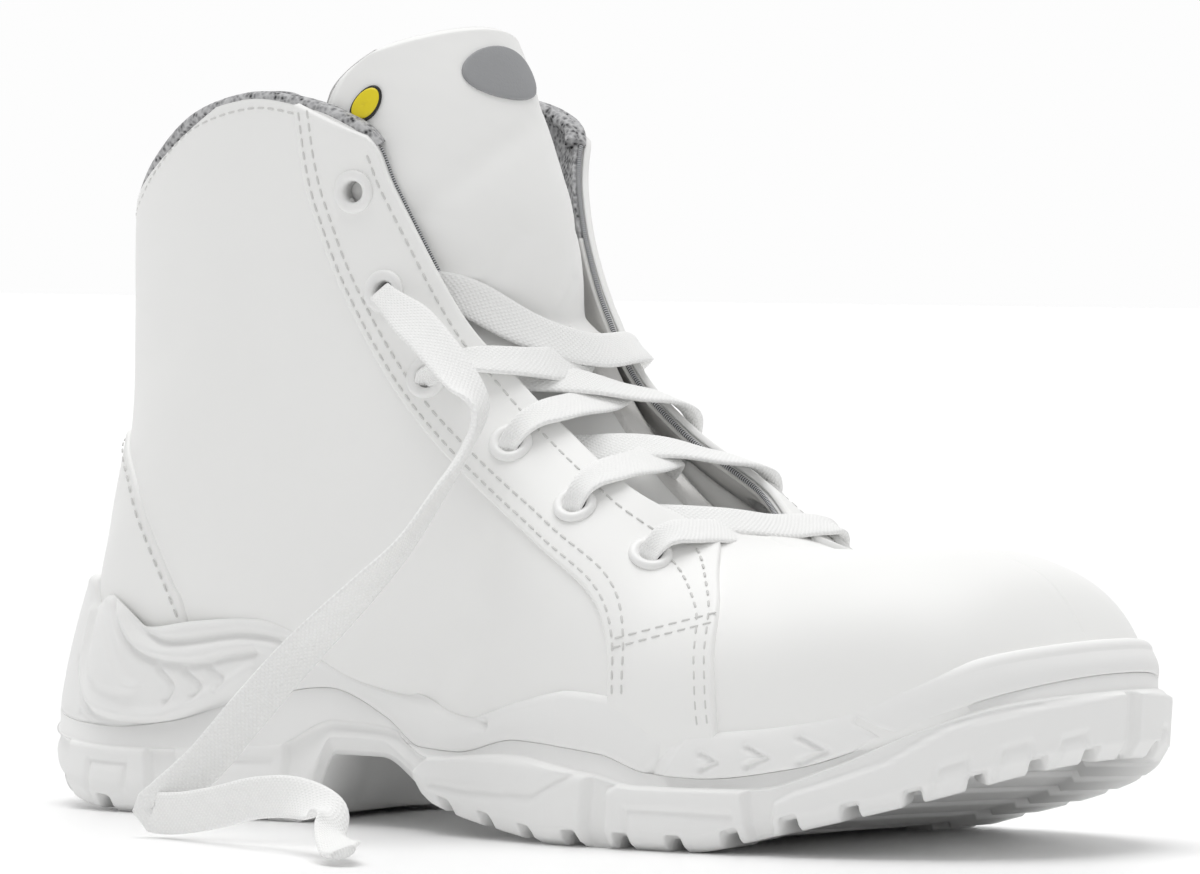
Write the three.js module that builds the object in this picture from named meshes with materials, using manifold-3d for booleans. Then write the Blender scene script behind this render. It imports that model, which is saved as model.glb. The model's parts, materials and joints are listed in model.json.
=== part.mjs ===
// High-top safety shoe for the right foot, size 42, standing empty on its sole.
// Millimetres. +X points to the toe, -Y is the lateral side, +Z is up, and the
// ground is z = 0. The origin is under the middle of the shoe.

import * as THREE from "three";
import { mergeVertices } from "three/addons/utils/BufferGeometryUtils.js";
import Module from "manifold-3d";

const wasm = await Module();
wasm.setup();

// Driving sizes
const LENGTH = 298;
const WIDTH = 108;
const COLLAR_HEIGHT = 166;
const RIM_HEIGHT = 46;
const FOOTBED_HEIGHT = 27;
const WALL = 2.2;
const GAP = 0.3;
const OVERLAY_THICKNESS = 1.3;
const INSOLE_THICKNESS = 4;
const SOLE_LAYER = 8;
const LEDGE_DEPTH = 2.4;
const CUP_WALL = 1.4;
const RIM_ROUND = 2.2;
const RIM_LEAN = 7;
const LUG_DEPTH = 3.6;
const LUG_GROOVE = 4.4;
const LUG_PITCH = 14;
const LUG_REACH = 17;
const EYELET_OUTER = 10;
const EYELET_HOLE = 4.8;
const EYELET_BARREL = 6.4;
const EYELET_FLANGE = 1.1;
const TONGUE_RADIUS = 28;
const TONGUE_PAD = 10;
const BADGE_WIDTH = 19;
const BADGE_HEIGHT = 12;
const DISC_DIAMETER = 7;
const TRIM_THICKNESS = 0.8;
const LACE_WIDTH = 9.5;
const LACE_THICKNESS = 1.6;

// How finely the curved pieces are divided
const UPPER_ROWS = 20;
const UPPER_AROUND = 24;
const SOLE_STATIONS = 34;
const CURVE_STEPS = 20;
const FOOTBED_STEPS = 10;
const ROUND_SIDES = 8;

// The upper's sections, from the tip of the toe to above the collar. Each lies in a
// plane through the Y direction: it runs from its low point (sole or back seam) to its
// high point (vamp, instep or shaft front). x is a share of LENGTH, z of COLLAR_HEIGHT,
// widths and middle of WIDTH. widest is the share of the way up where it is widest.
const SECTIONS = [
  { lowX: 0.481, lowZ: 0.2, highX: 0.481, highZ: 0.2, lateral: 0, medial: 0, middle: 0.085, widest: 0.4, top: 2.3, base: 3 },
  { lowX: 0.474, lowZ: 0.14, highX: 0.455, highZ: 0.29, lateral: 0.2, medial: 0.18, middle: 0.085, widest: 0.38, top: 2.3, base: 3 },
  { lowX: 0.447, lowZ: 0.115, highX: 0.426, highZ: 0.356, lateral: 0.33, medial: 0.295, middle: 0.078, widest: 0.36, top: 2.4, base: 3.4 },
  { lowX: 0.405, lowZ: 0.1, highX: 0.387, highZ: 0.388, lateral: 0.403, medial: 0.362, middle: 0.065, widest: 0.35, top: 2.5, base: 4 },
  { lowX: 0.352, lowZ: 0.09, highX: 0.341, highZ: 0.398, lateral: 0.44, medial: 0.405, middle: 0.048, widest: 0.34, top: 2.5, base: 4 },
  { lowX: 0.28, lowZ: 0.078, highX: 0.265, highZ: 0.391, lateral: 0.46, medial: 0.43, middle: 0.025, widest: 0.32, top: 2.4, base: 4 },
  { lowX: 0.208, lowZ: 0.072, highX: 0.182, highZ: 0.404, lateral: 0.468, medial: 0.445, middle: 0.008, widest: 0.3, top: 2.3, base: 4 },
  { lowX: 0.14, lowZ: 0.072, highX: 0.112, highZ: 0.497, lateral: 0.46, medial: 0.42, middle: 0, widest: 0.3, top: 2.3, base: 4 },
  { lowX: 0.072, lowZ: 0.076, highX: 0.051, highZ: 0.572, lateral: 0.438, medial: 0.378, middle: -0.004, widest: 0.31, top: 2.3, base: 3.8 },
  { lowX: -0.01, lowZ: 0.086, highX: 0.004, highZ: 0.664, lateral: 0.408, medial: 0.342, middle: -0.008, widest: 0.33, top: 2.3, base: 3.4 },
  { lowX: -0.11, lowZ: 0.105, highX: -0.024, highZ: 0.778, lateral: 0.376, medial: 0.328, middle: -0.012, widest: 0.36, top: 2.5, base: 3.1 },
  { lowX: -0.232, lowZ: 0.125, highX: -0.04, highZ: 0.88, lateral: 0.357, medial: 0.345, middle: -0.016, widest: 0.4, top: 2.8, base: 2.9 },
  { lowX: -0.36, lowZ: 0.132, highX: -0.047, highZ: 0.964, lateral: 0.347, medial: 0.375, middle: -0.018, widest: 0.44, top: 3.2, base: 2.6 },
  { lowX: -0.45, lowZ: 0.19, highX: -0.048, highZ: 1.018, lateral: 0.345, medial: 0.4, middle: -0.016, widest: 0.47, top: 3.6, base: 2.35 },
  { lowX: -0.447, lowZ: 0.33, highX: -0.045, highZ: 1.06, lateral: 0.346, medial: 0.415, middle: -0.014, widest: 0.49, top: 3.8, base: 2.2 },
  { lowX: -0.43, lowZ: 0.49, highX: -0.044, highZ: 1.1, lateral: 0.348, medial: 0.425, middle: -0.012, widest: 0.5, top: 4, base: 2.1 },
  { lowX: -0.428, lowZ: 0.64, highX: -0.046, highZ: 1.14, lateral: 0.35, medial: 0.43, middle: -0.01, widest: 0.5, top: 4, base: 2.05 },
  { lowX: -0.426, lowZ: 0.79, highX: -0.046, highZ: 1.19, lateral: 0.352, medial: 0.433, middle: -0.01, widest: 0.5, top: 4, base: 2.05 },
  { lowX: -0.42, lowZ: 0.93, highX: -0.046, highZ: 1.25, lateral: 0.352, medial: 0.433, middle: -0.01, widest: 0.5, top: 4, base: 2.05 },
];

// The sole's outline from above: its half-width on each side, and its middle at the two
// ends. x is a share of LENGTH, y of WIDTH. Toe and heel close with superellipses.
const OUTLINE = {
  toeMiddle: 0.085,
  heelMiddle: -0.018,
  lateral: { heelX: -0.367, toeX: 0.118, toePower: 2.35, heelPower: 2.15 },
  medial: { heelX: -0.367, toeX: 0.22, toePower: 2.5, heelPower: 2.15 },
};
const LATERAL_SIDE = [
  { x: -0.367, y: -0.384 },
  { x: -0.25, y: -0.38 },
  { x: -0.12, y: -0.378 },
  { x: 0.0, y: -0.44 },
  { x: 0.118, y: -0.5 },
];
const MEDIAL_SIDE = [
  { x: -0.367, y: 0.348 },
  { x: -0.25, y: 0.315 },
  { x: -0.11, y: 0.29 },
  { x: 0.03, y: 0.37 },
  { x: 0.14, y: 0.475 },
  { x: 0.22, y: 0.5 },
];

// Heights along the sole's side. x is a share of LENGTH and z of RIM_HEIGHT.
const GROUND = [
  { x: -0.5, z: 0.38 },
  { x: -0.475, z: 0.21 },
  { x: -0.44, z: 0.09 },
  { x: -0.4, z: 0.03 },
  { x: -0.36, z: 0 },
  { x: -0.18, z: 0 },
  { x: -0.162, z: 0.13 },
  { x: -0.141, z: 0.35 },
  { x: -0.093, z: 0.35 },
  { x: -0.05, z: 0.23 },
  { x: -0.02, z: 0.13 },
  { x: 0.07, z: 0.03 },
  { x: 0.11, z: 0 },
  { x: 0.24, z: 0 },
  { x: 0.31, z: 0.09 },
  { x: 0.42, z: 0.27 },
  { x: 0.5, z: 0.45 },
];
const LEDGE = [
  { x: -0.5, z: 0.42 },
  { x: -0.44, z: 0.34 },
  { x: -0.36, z: 0.31 },
  { x: -0.2, z: 0.36 },
  { x: -0.14, z: 0.5 },
  { x: -0.08, z: 0.48 },
  { x: -0.03, z: 0.36 },
  { x: 0.07, z: 0.4 },
  { x: 0.15, z: 0.34 },
  { x: 0.2, z: 0.29 },
  { x: 0.3, z: 0.3 },
  { x: 0.36, z: 0.42 },
  { x: 0.42, z: 0.6 },
  { x: 0.47, z: 0.72 },
  { x: 0.5, z: 0.76 },
];
const PARTING = [
  { x: -0.5, z: 0.54 },
  { x: -0.44, z: 0.46 },
  { x: -0.37, z: 0.43 },
  { x: -0.31, z: 0.47 },
  { x: -0.24, z: 0.58 },
  { x: -0.145, z: 0.68 },
  { x: -0.085, z: 0.55 },
  { x: -0.045, z: 0.42 },
  { x: 0.0, z: 0.41 },
  { x: 0.07, z: 0.49 },
  { x: 0.16, z: 0.45 },
  { x: 0.205, z: 0.37 },
  { x: 0.25, z: 0.355 },
  { x: 0.33, z: 0.42 },
  { x: 0.39, z: 0.55 },
  { x: 0.45, z: 0.74 },
  { x: 0.5, z: 0.86 },
];
const RIM = [
  { x: -0.5, z: 1.16 },
  { x: -0.452, z: 1.18 },
  { x: -0.437, z: 1.17 },
  { x: -0.42, z: 1.03 },
  { x: -0.395, z: 1.09 },
  { x: -0.37, z: 1.04 },
  { x: -0.34, z: 0.94 },
  { x: -0.29, z: 0.98 },
  { x: -0.22, z: 1.01 },
  { x: -0.17, z: 0.95 },
  { x: -0.135, z: 0.86 },
  { x: -0.06, z: 0.7 },
  { x: 0.01, z: 0.585 },
  { x: 0.07, z: 0.68 },
  { x: 0.13, z: 0.745 },
  { x: 0.18, z: 0.72 },
  { x: 0.235, z: 0.575 },
  { x: 0.29, z: 0.6 },
  { x: 0.35, z: 0.67 },
  { x: 0.41, z: 0.83 },
  { x: 0.46, z: 0.96 },
  { x: 0.5, z: 1.02 },
];

// How far the sole's side leans in at the rim, as a share of RIM_LEAN.
const LEAN = [
  { x: -0.5, z: 1 },
  { x: -0.43, z: 0.9 },
  { x: -0.36, z: 0.25 },
  { x: -0.3, z: 0 },
  { x: 0.4, z: 0 },
  { x: 0.5, z: 0.25 },
];

// The footbed's height along the shoe, as a share of FOOTBED_HEIGHT.
const FOOTBED = [
  { x: -0.5, z: 1.05 },
  { x: -0.37, z: 1 },
  { x: -0.24, z: 0.96 },
  { x: -0.11, z: 0.87 },
  { x: 0.0, z: 0.68 },
  { x: 0.12, z: 0.57 },
  { x: 0.24, z: 0.58 },
  { x: 0.34, z: 0.71 },
  { x: 0.43, z: 0.95 },
  { x: 0.5, z: 1.16 },
];

// The collar and the edge of the throat, seen from the side. x is a share of LENGTH and
// z of COLLAR_HEIGHT. Everything above this line is open.
const COLLAR_LINE = [
  { x: -0.46, z: 0.832 },
  { x: -0.42, z: 0.84 },
  { x: -0.385, z: 0.862 },
  { x: -0.345, z: 0.912 },
  { x: -0.29, z: 0.971 },
  { x: -0.225, z: 1 },
  { x: -0.175, z: 0.992 },
  { x: -0.135, z: 0.972 },
  { x: -0.107, z: 0.94 },
];
const THROAT_LINE = [
  { x: -0.09, z: 0.87 },
  { x: -0.038, z: 0.71 },
  { x: 0.009, z: 0.608 },
  { x: 0.059, z: 0.534 },
  { x: 0.11, z: 0.475 },
  { x: 0.175, z: 0.4 },
];

// The eyestay's rear edge and its front edge down to the sole, seen from the side.
const EYESTAY_REAR = [
  { x: -0.178, z: 1.06 },
  { x: -0.177, z: 0.98 },
  { x: -0.163, z: 0.858 },
  { x: -0.132, z: 0.735 },
  { x: -0.076, z: 0.6 },
  { x: -0.008, z: 0.493 },
  { x: 0.072, z: 0.402 },
  { x: 0.131, z: 0.339 },
  { x: 0.159, z: 0.275 },
  { x: 0.167, z: 0.2 },
  { x: 0.168, z: 0.11 },
];
const EYESTAY_FRONT = [
  { x: 0.264, z: 0.11 },
  { x: 0.263, z: 0.17 },
  { x: 0.246, z: 0.253 },
  { x: 0.221, z: 0.329 },
  { x: 0.178, z: 0.398 },
];

// The heel counter's edge on the side of the shoe, from the back seam to the sole.
const COUNTER_EDGE = [
  { x: -0.5, z: 0.54 },
  { x: -0.41, z: 0.53 },
  { x: -0.384, z: 0.511 },
  { x: -0.356, z: 0.466 },
  { x: -0.337, z: 0.408 },
  { x: -0.313, z: 0.325 },
  { x: -0.302, z: 0.278 },
  { x: -0.295, z: 0.1 },
];

// The eyelets' centres seen from the side, from the collar down.
const EYELETS = [
  { x: -0.122, z: 0.87 },
  { x: -0.092, z: 0.733 },
  { x: -0.048, z: 0.616 },
  { x: 0.026, z: 0.526 },
  { x: 0.095, z: 0.445 },
  { x: 0.16, z: 0.381 },
];

// The tongue's sections from the vamp to its top: x and z of its front line as shares of
// LENGTH and COLLAR_HEIGHT, its radius of TONGUE_RADIUS, half of its arc in degrees, and
// its thickness as a share of TONGUE_PAD.
const TONGUE = [
  { x: 0.165, z: 0.335, radius: 2.2, arc: 24, pad: 0.25 },
  { x: 0.108, z: 0.386, radius: 1.6, arc: 31, pad: 0.25 },
  { x: 0.056, z: 0.456, radius: 1.3, arc: 37, pad: 0.25 },
  { x: 0.01, z: 0.546, radius: 1.12, arc: 46, pad: 0.28 },
  { x: -0.023, z: 0.64, radius: 1, arc: 58, pad: 0.35 },
  { x: -0.028, z: 0.7, radius: 0.97, arc: 68, pad: 0.75 },
  { x: -0.026, z: 0.76, radius: 0.97, arc: 80, pad: 1 },
  { x: -0.034, z: 0.85, radius: 1, arc: 93, pad: 1 },
  { x: -0.052, z: 0.94, radius: 1.03, arc: 102, pad: 1 },
  { x: -0.071, z: 1.02, radius: 1.04, arc: 102, pad: 0.95 },
  { x: -0.086, z: 1.075, radius: 1.03, arc: 84, pad: 0.75 },
  { x: -0.092, z: 1.098, radius: 1, arc: 56, pad: 0.35 },
];

// Along a lace strand: its share of the way from eyelet to eyelet over the upper's form,
// and the millimetres from that form to its middle.
const STRAND_STEPS = [
  { along: 0, off: 2.8 },
  { along: 0.09, off: 3.6 },
  { along: 0.18, off: 3.4 },
  { along: 0.27, off: 2.4 },
  { along: 0.38, off: 0.6 },
  { along: 0.5, off: -0.9 },
  { along: 0.6, off: -1.6 },
  { along: 0.7, off: -2.4 },
];
// How much higher each crossing's middle lies, in millimetres, from the vamp up.
const CROSSING_LIFTS = [2.6, 0.4, 0.4, 1.6];

// Sections of a lace, in halves of its width and thickness.
const FLAT_SECTION = [
  [-1, -1],
  [1, -1],
  [1, 1],
  [-1, 1],
];
const ROUNDED_SECTION = [
  [-1, -0.4],
  [-0.85, -1],
  [0.85, -1],
  [1, -0.4],
  [1, 0.4],
  [0.85, 1],
  [-0.85, 1],
  [-1, 0.4],
];

// The free lace end, chosen by hand in millimetres. face is how far the band is turned
// edge-on, in degrees, to someone who looks along LACE_LOOK.
const LACE_LOOK = new THREE.Vector3(-0.643, 0.766, 0);
const LACE_ROUTE = [
  { x: -25, y: -41.1, z: 121.5, face: 10 },
  { x: -9, y: -45, z: 113, face: 15 },
  { x: 5, y: -48, z: 102, face: 35 },
  { x: 11, y: -50, z: 95, face: 75 },
  { x: 10, y: -53, z: 87, face: 85 },
  { x: 6, y: -57, z: 78, face: 75 },
  { x: 0, y: -62, z: 66, face: 65 },
  { x: -7, y: -68, z: 56, face: 45 },
  { x: -19, y: -75, z: 42, face: 20 },
  { x: -28, y: -82, z: 29, face: 5 },
  { x: -37, y: -87, z: 17, face: 0 },
  { x: -45, y: -91, z: 9, face: 0 },
  { x: -48, y: -92, z: 6, face: 0 },
  { x: -39, y: -94, z: 6, face: 5 },
  { x: -25, y: -97, z: 8, face: 10 },
  { x: -10, y: -100, z: 11, face: 10 },
  { x: 5, y: -104, z: 12, face: 15 },
  { x: 18, y: -108, z: 10, face: 40 },
  { x: 24, y: -113, z: 6, face: 60 },
  { x: 32, y: -120, z: 4, face: 50 },
  { x: 40, y: -127, z: 3, face: 40 },
];

const middleX = LENGTH / 2;

function material(color, roughness) {
  return new THREE.MeshStandardMaterial({ color, roughness, metalness: 0 });
}
const leather = material(0xf3f3f2, 0.6);
const sole = material(0xefefee, 0.55);
const textile = material(0xf4f4f3, 0.85);
const plastic = material(0xf2f2f1, 0.4);
const greyTextile = material(0x969696, 0.8);
const discYellow = material(0xf2e100, 0.6);

// A smooth value between a table's rows by their number, as a Catmull-Rom curve.
function bySection(name, position) {
  const last = SECTIONS.length - 1;
  const row = Math.min(Math.floor(position), last - 1);
  const t = position - row;
  const at = (index) => {
    if (index > last) return 2 * SECTIONS[last][name] - SECTIONS[last - 1][name];
    if (index >= 0) return SECTIONS[index][name];
    // Past the tip of the toe the section turns over, so low and high change places.
    const mirrored = { lowX: "highX", highX: "lowX", lowZ: "highZ", highZ: "lowZ" };
    if (name in mirrored) return SECTIONS[1][mirrored[name]];
    return name === "lateral" || name === "medial" ? -SECTIONS[1][name] : SECTIONS[1][name];
  };
  const [a, b, c, d] = [at(row - 1), at(row), at(row + 1), at(row + 2)];
  return (
    b +
    0.5 * t * (c - a + t * (2 * a - 5 * b + 4 * c - d + t * (3 * (b - c) + d - a)))
  );
}

// A smooth curve through a table's points, by x, that doesn't swing past them.
function byX(table, x, key = "z") {
  const last = table.length - 1;
  const share = Math.min(Math.max(x / LENGTH, table[0].x), table[last].x);
  let i = 0;
  while (i < last - 1 && share > table[i + 1].x) i += 1;
  const slope = (k) => (table[k + 1][key] - table[k][key]) / (table[k + 1].x - table[k].x);
  const tangent = (k) => {
    if (k === 0) return slope(0);
    if (k === last) return slope(last - 1);
    const [before, after] = [slope(k - 1), slope(k)];
    return before * after <= 0 ? 0 : (2 * before * after) / (before + after);
  };
  const width = table[i + 1].x - table[i].x;
  const t = (share - table[i].x) / width;
  const rest = 1 - t;
  return (
    table[i][key] * rest * rest * (1 + 2 * t) +
    table[i + 1][key] * t * t * (3 - 2 * t) +
    width * t * rest * (tangent(i) * rest - tangent(i + 1) * t)
  );
}

const power = (value, exponent) => Math.sign(value) * Math.abs(value) ** exponent;

// A point of the upper's outer surface. row counts sections, and turn goes round one of
// them: 0 at the high point, then over the lateral side, half a turn at the low point.
function upperPoint(row, turn) {
  const get = (name) => bySection(name, row);
  const angle = 2 * Math.PI * turn;
  const [cosine, sine] = [Math.cos(angle), Math.sin(angle)];
  const roundness = 2 / (cosine > 0 ? get("top") : get("base"));
  const widest = get("widest");
  const reach = cosine > 0 ? 1 - widest : widest;
  const up = widest + reach * power(cosine, roundness);
  const side = sine > 0 ? -get("lateral") : get("medial");
  return new THREE.Vector3(
    LENGTH * (get("lowX") + up * (get("highX") - get("lowX"))),
    WIDTH * (get("middle") + side * Math.abs(power(sine, roundness))),
    COLLAR_HEIGHT * (get("lowZ") + up * (get("highZ") - get("lowZ"))),
  );
}

// The outward direction of the upper's surface there.
function upperNormal(row, turn) {
  if (row === 0) return new THREE.Vector3(1, 0, 0);
  const last = SECTIONS.length - 1;
  const [before, after] = [Math.max(row - 0.05, 0.001), Math.min(row + 0.05, last)];
  const along = upperPoint(after, turn).sub(upperPoint(before, turn));
  const around = upperPoint(row, turn + 0.004).sub(upperPoint(row, turn - 0.004));
  return around.cross(along).negate().normalize();
}

function upperOffset(row, turn, grow) {
  return upperPoint(row, turn).addScaledVector(upperNormal(row, turn), grow);
}

// Manifold solids from grids of points and from three.js geometries, and back.
function solidOf(geometry) {
  const bare = geometry.index ? geometry.toNonIndexed() : geometry;
  const positions = new THREE.BufferGeometry().setAttribute(
    "position",
    bare.getAttribute("position"),
  );
  const merged = mergeVertices(positions, 1e-4);
  return new wasm.Manifold(
    new wasm.Mesh({
      numProp: 3,
      vertProperties: new Float32Array(merged.attributes.position.array),
      triVerts: new Uint32Array(merged.index.array),
    }),
  );
}

function solidOfTriangles(points, triangles) {
  const geometry = new THREE.BufferGeometry();
  const flat = points.flatMap((p) => [p.x, p.y, p.z]);
  geometry.setAttribute("position", new THREE.Float32BufferAttribute(flat, 3));
  geometry.setIndex(triangles.flat());
  return solidOf(geometry);
}

function meshOf(name, solid, look) {
  const made = solid.getMesh();
  const geometry = new THREE.BufferGeometry();
  const positions = new Float32Array(made.numVert * 3);
  for (let i = 0; i < made.numVert; i += 1) {
    const start = i * made.numProp;
    positions.set(made.vertProperties.subarray(start, start + 3), i * 3);
  }
  geometry.setAttribute("position", new THREE.BufferAttribute(positions, 3));
  geometry.setIndex(new THREE.BufferAttribute(new Uint32Array(made.triVerts), 1));
  geometry.computeVertexNormals();
  const mesh = new THREE.Mesh(geometry, look);
  mesh.name = name;
  return mesh;
}

// A closed solid through a list of rings with the same number of points. Where first or
// last is one point, it is a pole.
function skin(rings, startPoint, endPoint) {
  const around = rings[0].length;
  const points = rings.flat();
  const triangles = [];
  for (let i = 0; i + 1 < rings.length; i += 1) {
    for (let j = 0; j < around; j += 1) {
      const next = (j + 1) % around;
      const [a, b] = [i * around + j, i * around + next];
      const [c, d] = [a + around, b + around];
      triangles.push([a, b, d], [a, d, c]);
    }
  }
  const start = points.push(startPoint) - 1;
  const end = points.push(endPoint) - 1;
  const lastRing = (rings.length - 1) * around;
  for (let j = 0; j < around; j += 1) {
    const next = (j + 1) % around;
    triangles.push([start, next, j], [end, lastRing + j, lastRing + next]);
  }
  return solidOfTriangles(points, triangles);
}

function average(points) {
  const sum = new THREE.Vector3();
  points.forEach((p) => sum.add(p));
  return sum.divideScalar(points.length);
}

// The upper's full closed form, grown outward by that much.
function upperForm(grow) {
  const last = SECTIONS.length - 1;
  const rings = [];
  for (let i = 1; i <= UPPER_ROWS; i += 1) {
    // Rows are closer together at the toe, where the form turns fastest.
    const row = last * (i / UPPER_ROWS) ** 1.25;
    rings.push(
      Array.from({ length: UPPER_AROUND }, (_, j) => upperOffset(row, 1 - j / UPPER_AROUND, grow)),
    );
  }
  return skin(rings, upperOffset(0, 0, grow), average(rings[rings.length - 1]));
}

// A solid of a side-view outline: points [x, z] in millimetres, from y0 to y1.
function sideBlock(outline, y0, y1) {
  const shape = new THREE.Shape(outline.map(([x, z]) => new THREE.Vector2(x, z)));
  const block = new THREE.ExtrudeGeometry(shape, { depth: y1 - y0, bevelEnabled: false });
  block.rotateX(Math.PI / 2);
  block.translate(0, y1, 0);
  return solidOf(block);
}

// Points along a smooth side-view line through a table's rows.
function sideLine(table, steps) {
  const path = new THREE.SplineCurve(
    table.map((row) => new THREE.Vector2(row.x * LENGTH, row.z * COLLAR_HEIGHT)),
  );
  return path.getPoints(steps).map((p) => [p.x, p.y]);
}

const OUTSIDE = 2 * WIDTH;

// What lies above the footbed, lifted by that much, up to a height.
function aboveFootbed(lift, top) {
  const line = [];
  for (let i = 0; i <= FOOTBED_STEPS; i += 1) {
    const x = -middleX - 5 + ((LENGTH + 10) * i) / FOOTBED_STEPS;
    line.push([x, byX(FOOTBED, x) * FOOTBED_HEIGHT + lift]);
  }
  const over = top.map(([x, z]) => [x, z]);
  return sideBlock([...line, ...over], -OUTSIDE, OUTSIDE);
}

function boxAbove(height) {
  return [
    [middleX + 5, height],
    [-middleX - 5, height],
  ];
}

// The opening of collar and throat: all that is above and in front of their line.
function collarOpening() {
  const rim = sideLine([...COLLAR_LINE, ...THROAT_LINE], CURVE_STEPS);
  const far = 3 * COLLAR_HEIGHT;
  const [frontX] = rim[rim.length - 1];
  return sideBlock([[-LENGTH, rim[0][1]], ...rim, [frontX, far], [-LENGTH, far]], -OUTSIDE, OUTSIDE);
}

// The sole's outline on one side at x: side is -1 for lateral and 1 for medial.
function outlineY(x, side) {
  const ends = side < 0 ? OUTLINE.lateral : OUTLINE.medial;
  const table = side < 0 ? LATERAL_SIDE : MEDIAL_SIDE;
  const share = x / LENGTH;
  if (share > ends.toeX) {
    const t = Math.min((share - ends.toeX) / (0.5 - ends.toeX), 1);
    const wide = table[table.length - 1].y - OUTLINE.toeMiddle;
    return WIDTH * (OUTLINE.toeMiddle + wide * (1 - t ** ends.toePower) ** (1 / ends.toePower));
  }
  if (share < ends.heelX) {
    const t = Math.min((ends.heelX - share) / (ends.heelX + 0.5), 1);
    const wide = table[0].y - OUTLINE.heelMiddle;
    return WIDTH * (OUTLINE.heelMiddle + wide * (1 - t ** ends.heelPower) ** (1 / ends.heelPower));
  }
  return WIDTH * byX(table, x, "y");
}

// The outline as a ring of points with outward normals. It starts at the heel's back,
// runs along the lateral side to the toe, and comes back along the medial side.
function outlineRing() {
  const ring = [];
  const station = (i) => -middleX * Math.cos((Math.PI * i) / SOLE_STATIONS);
  for (let i = 0; i < SOLE_STATIONS; i += 1) ring.push([station(i), outlineY(station(i), -1)]);
  for (let i = SOLE_STATIONS; i > 0; i -= 1) ring.push([station(i), outlineY(station(i), 1)]);
  return ring.map(([x, y], i) => {
    const [ax, ay] = ring[(i + ring.length - 1) % ring.length];
    const [bx, by] = ring[(i + 1) % ring.length];
    const size = Math.hypot(bx - ax, by - ay);
    return { x, y, outX: (by - ay) / size, outY: -(bx - ax) / size };
  });
}
const RING = outlineRing();

// A ring of the sole's side, moved in by a depth and a share of the heel cup's lean, at a
// height that follows x.
function soleRing(inset, height, leaning = 0) {
  return RING.map(({ x, y, outX, outY }) => {
    const depth = inset + leaning * RIM_LEAN * byX(LEAN, x);
    return new THREE.Vector3(x - outX * depth, y - outY * depth, height(x));
  });
}

// A solid through rings of the sole, with its bottom and top closed from side to side.
function soleStack(rings) {
  const around = RING.length;
  const points = rings.flat();
  const triangles = [];
  for (let i = 0; i + 1 < rings.length; i += 1) {
    for (let j = 0; j < around; j += 1) {
      const next = (j + 1) % around;
      const [a, b] = [i * around + j, i * around + next];
      const [c, d] = [a + around, b + around];
      const rising = points[a].distanceTo(points[d]) < points[b].distanceTo(points[c]);
      triangles.push(...(rising ? [[a, b, d], [a, d, c]] : [[a, b, c], [b, d, c]]));
    }
  }
  const top = (rings.length - 1) * around;
  for (let i = 0; i < SOLE_STATIONS; i += 1) {
    const [a, b] = [i, i + 1];
    const [c, d] = [(around - i) % around, around - i - 1];
    const cap = [
      [a, c, d],
      [a, d, b],
    ].filter((t) => new Set(t).size === 3);
    for (const [p, q, r] of cap) triangles.push([p, q, r], [top + p, top + r, top + q]);
  }
  return solidOfTriangles(points, triangles);
}

const groundAt = (x) => byX(GROUND, x) * RIM_HEIGHT;
const ledgeAt = (x) => byX(LEDGE, x) * RIM_HEIGHT;
const partingAt = (x) => byX(PARTING, x) * RIM_HEIGHT;
const rimAt = (x) => byX(RIM, x) * RIM_HEIGHT;
const footbedAt = (x) => byX(FOOTBED, x) * FOOTBED_HEIGHT;
// The level inside where the outsole ends: under the footbed, over the lugs.
const coreAt = (x) => Math.max(footbedAt(x) - SOLE_LAYER, groundAt(x) + 2.8);

function outsoleBody() {
  const lower = (x) => Math.min(groundAt(x) + 4, ledgeAt(x) - 1.5);
  return soleStack([
    soleRing(3.4, groundAt),
    soleRing(0.7, lower),
    soleRing(0, ledgeAt),
    soleRing(LEDGE_DEPTH, (x) => Math.min(ledgeAt(x) + 0.9, partingAt(x) - 1)),
    soleRing(LEDGE_DEPTH, (x) => partingAt(x) - GAP / 2),
    soleRing(LEDGE_DEPTH + CUP_WALL, (x) => coreAt(x) - GAP / 2),
  ]);
}

// Grooves between the lugs, cut in from both edges of the tread.
function lugGrooves() {
  const grooves = [];
  const cut = (x, side, turn) => {
    const box = new THREE.BoxGeometry(LUG_GROOVE, LUG_REACH, 2 * LUG_DEPTH);
    box.rotateZ(turn);
    box.rotateY(-Math.atan((groundAt(x + 4) - groundAt(x - 4)) / 8));
    box.translate(x, outlineY(x, side) - side * (LUG_REACH / 2 - 2), groundAt(x));
    grooves.push(solidOf(box));
  };
  for (let i = 0; i < 10; i += 1) {
    const x = -0.02 * LENGTH + i * LUG_PITCH;
    cut(x, -1, 0.25);
    cut(x, 1, -0.25);
  }
  for (let i = 0; i < 4; i += 1) {
    const x = -0.4 * LENGTH + i * LUG_PITCH;
    cut(x, -1, -0.2);
    cut(x, 1, 0.2);
  }
  return grooves.reduce((all, groove) => all.add(groove));
}

// The midsole before the foot's hollow is cut into it, with its rim raised by that much.
function midsoleBody(raise = 0) {
  const shoulder = (x) => rimAt(x) - RIM_ROUND + raise;
  const belly = (x) => (partingAt(x) + rimAt(x)) / 2;
  return soleStack([
    soleRing(LEDGE_DEPTH + CUP_WALL, (x) => coreAt(x) + GAP / 2),
    soleRing(LEDGE_DEPTH, (x) => partingAt(x) + GAP / 2),
    soleRing(LEDGE_DEPTH - 1, belly, 0.2),
    soleRing(LEDGE_DEPTH - 0.6, shoulder, 0.8),
    soleRing(LEDGE_DEPTH + 1.4, (x) => rimAt(x) + raise, 1),
  ]);
}

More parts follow.
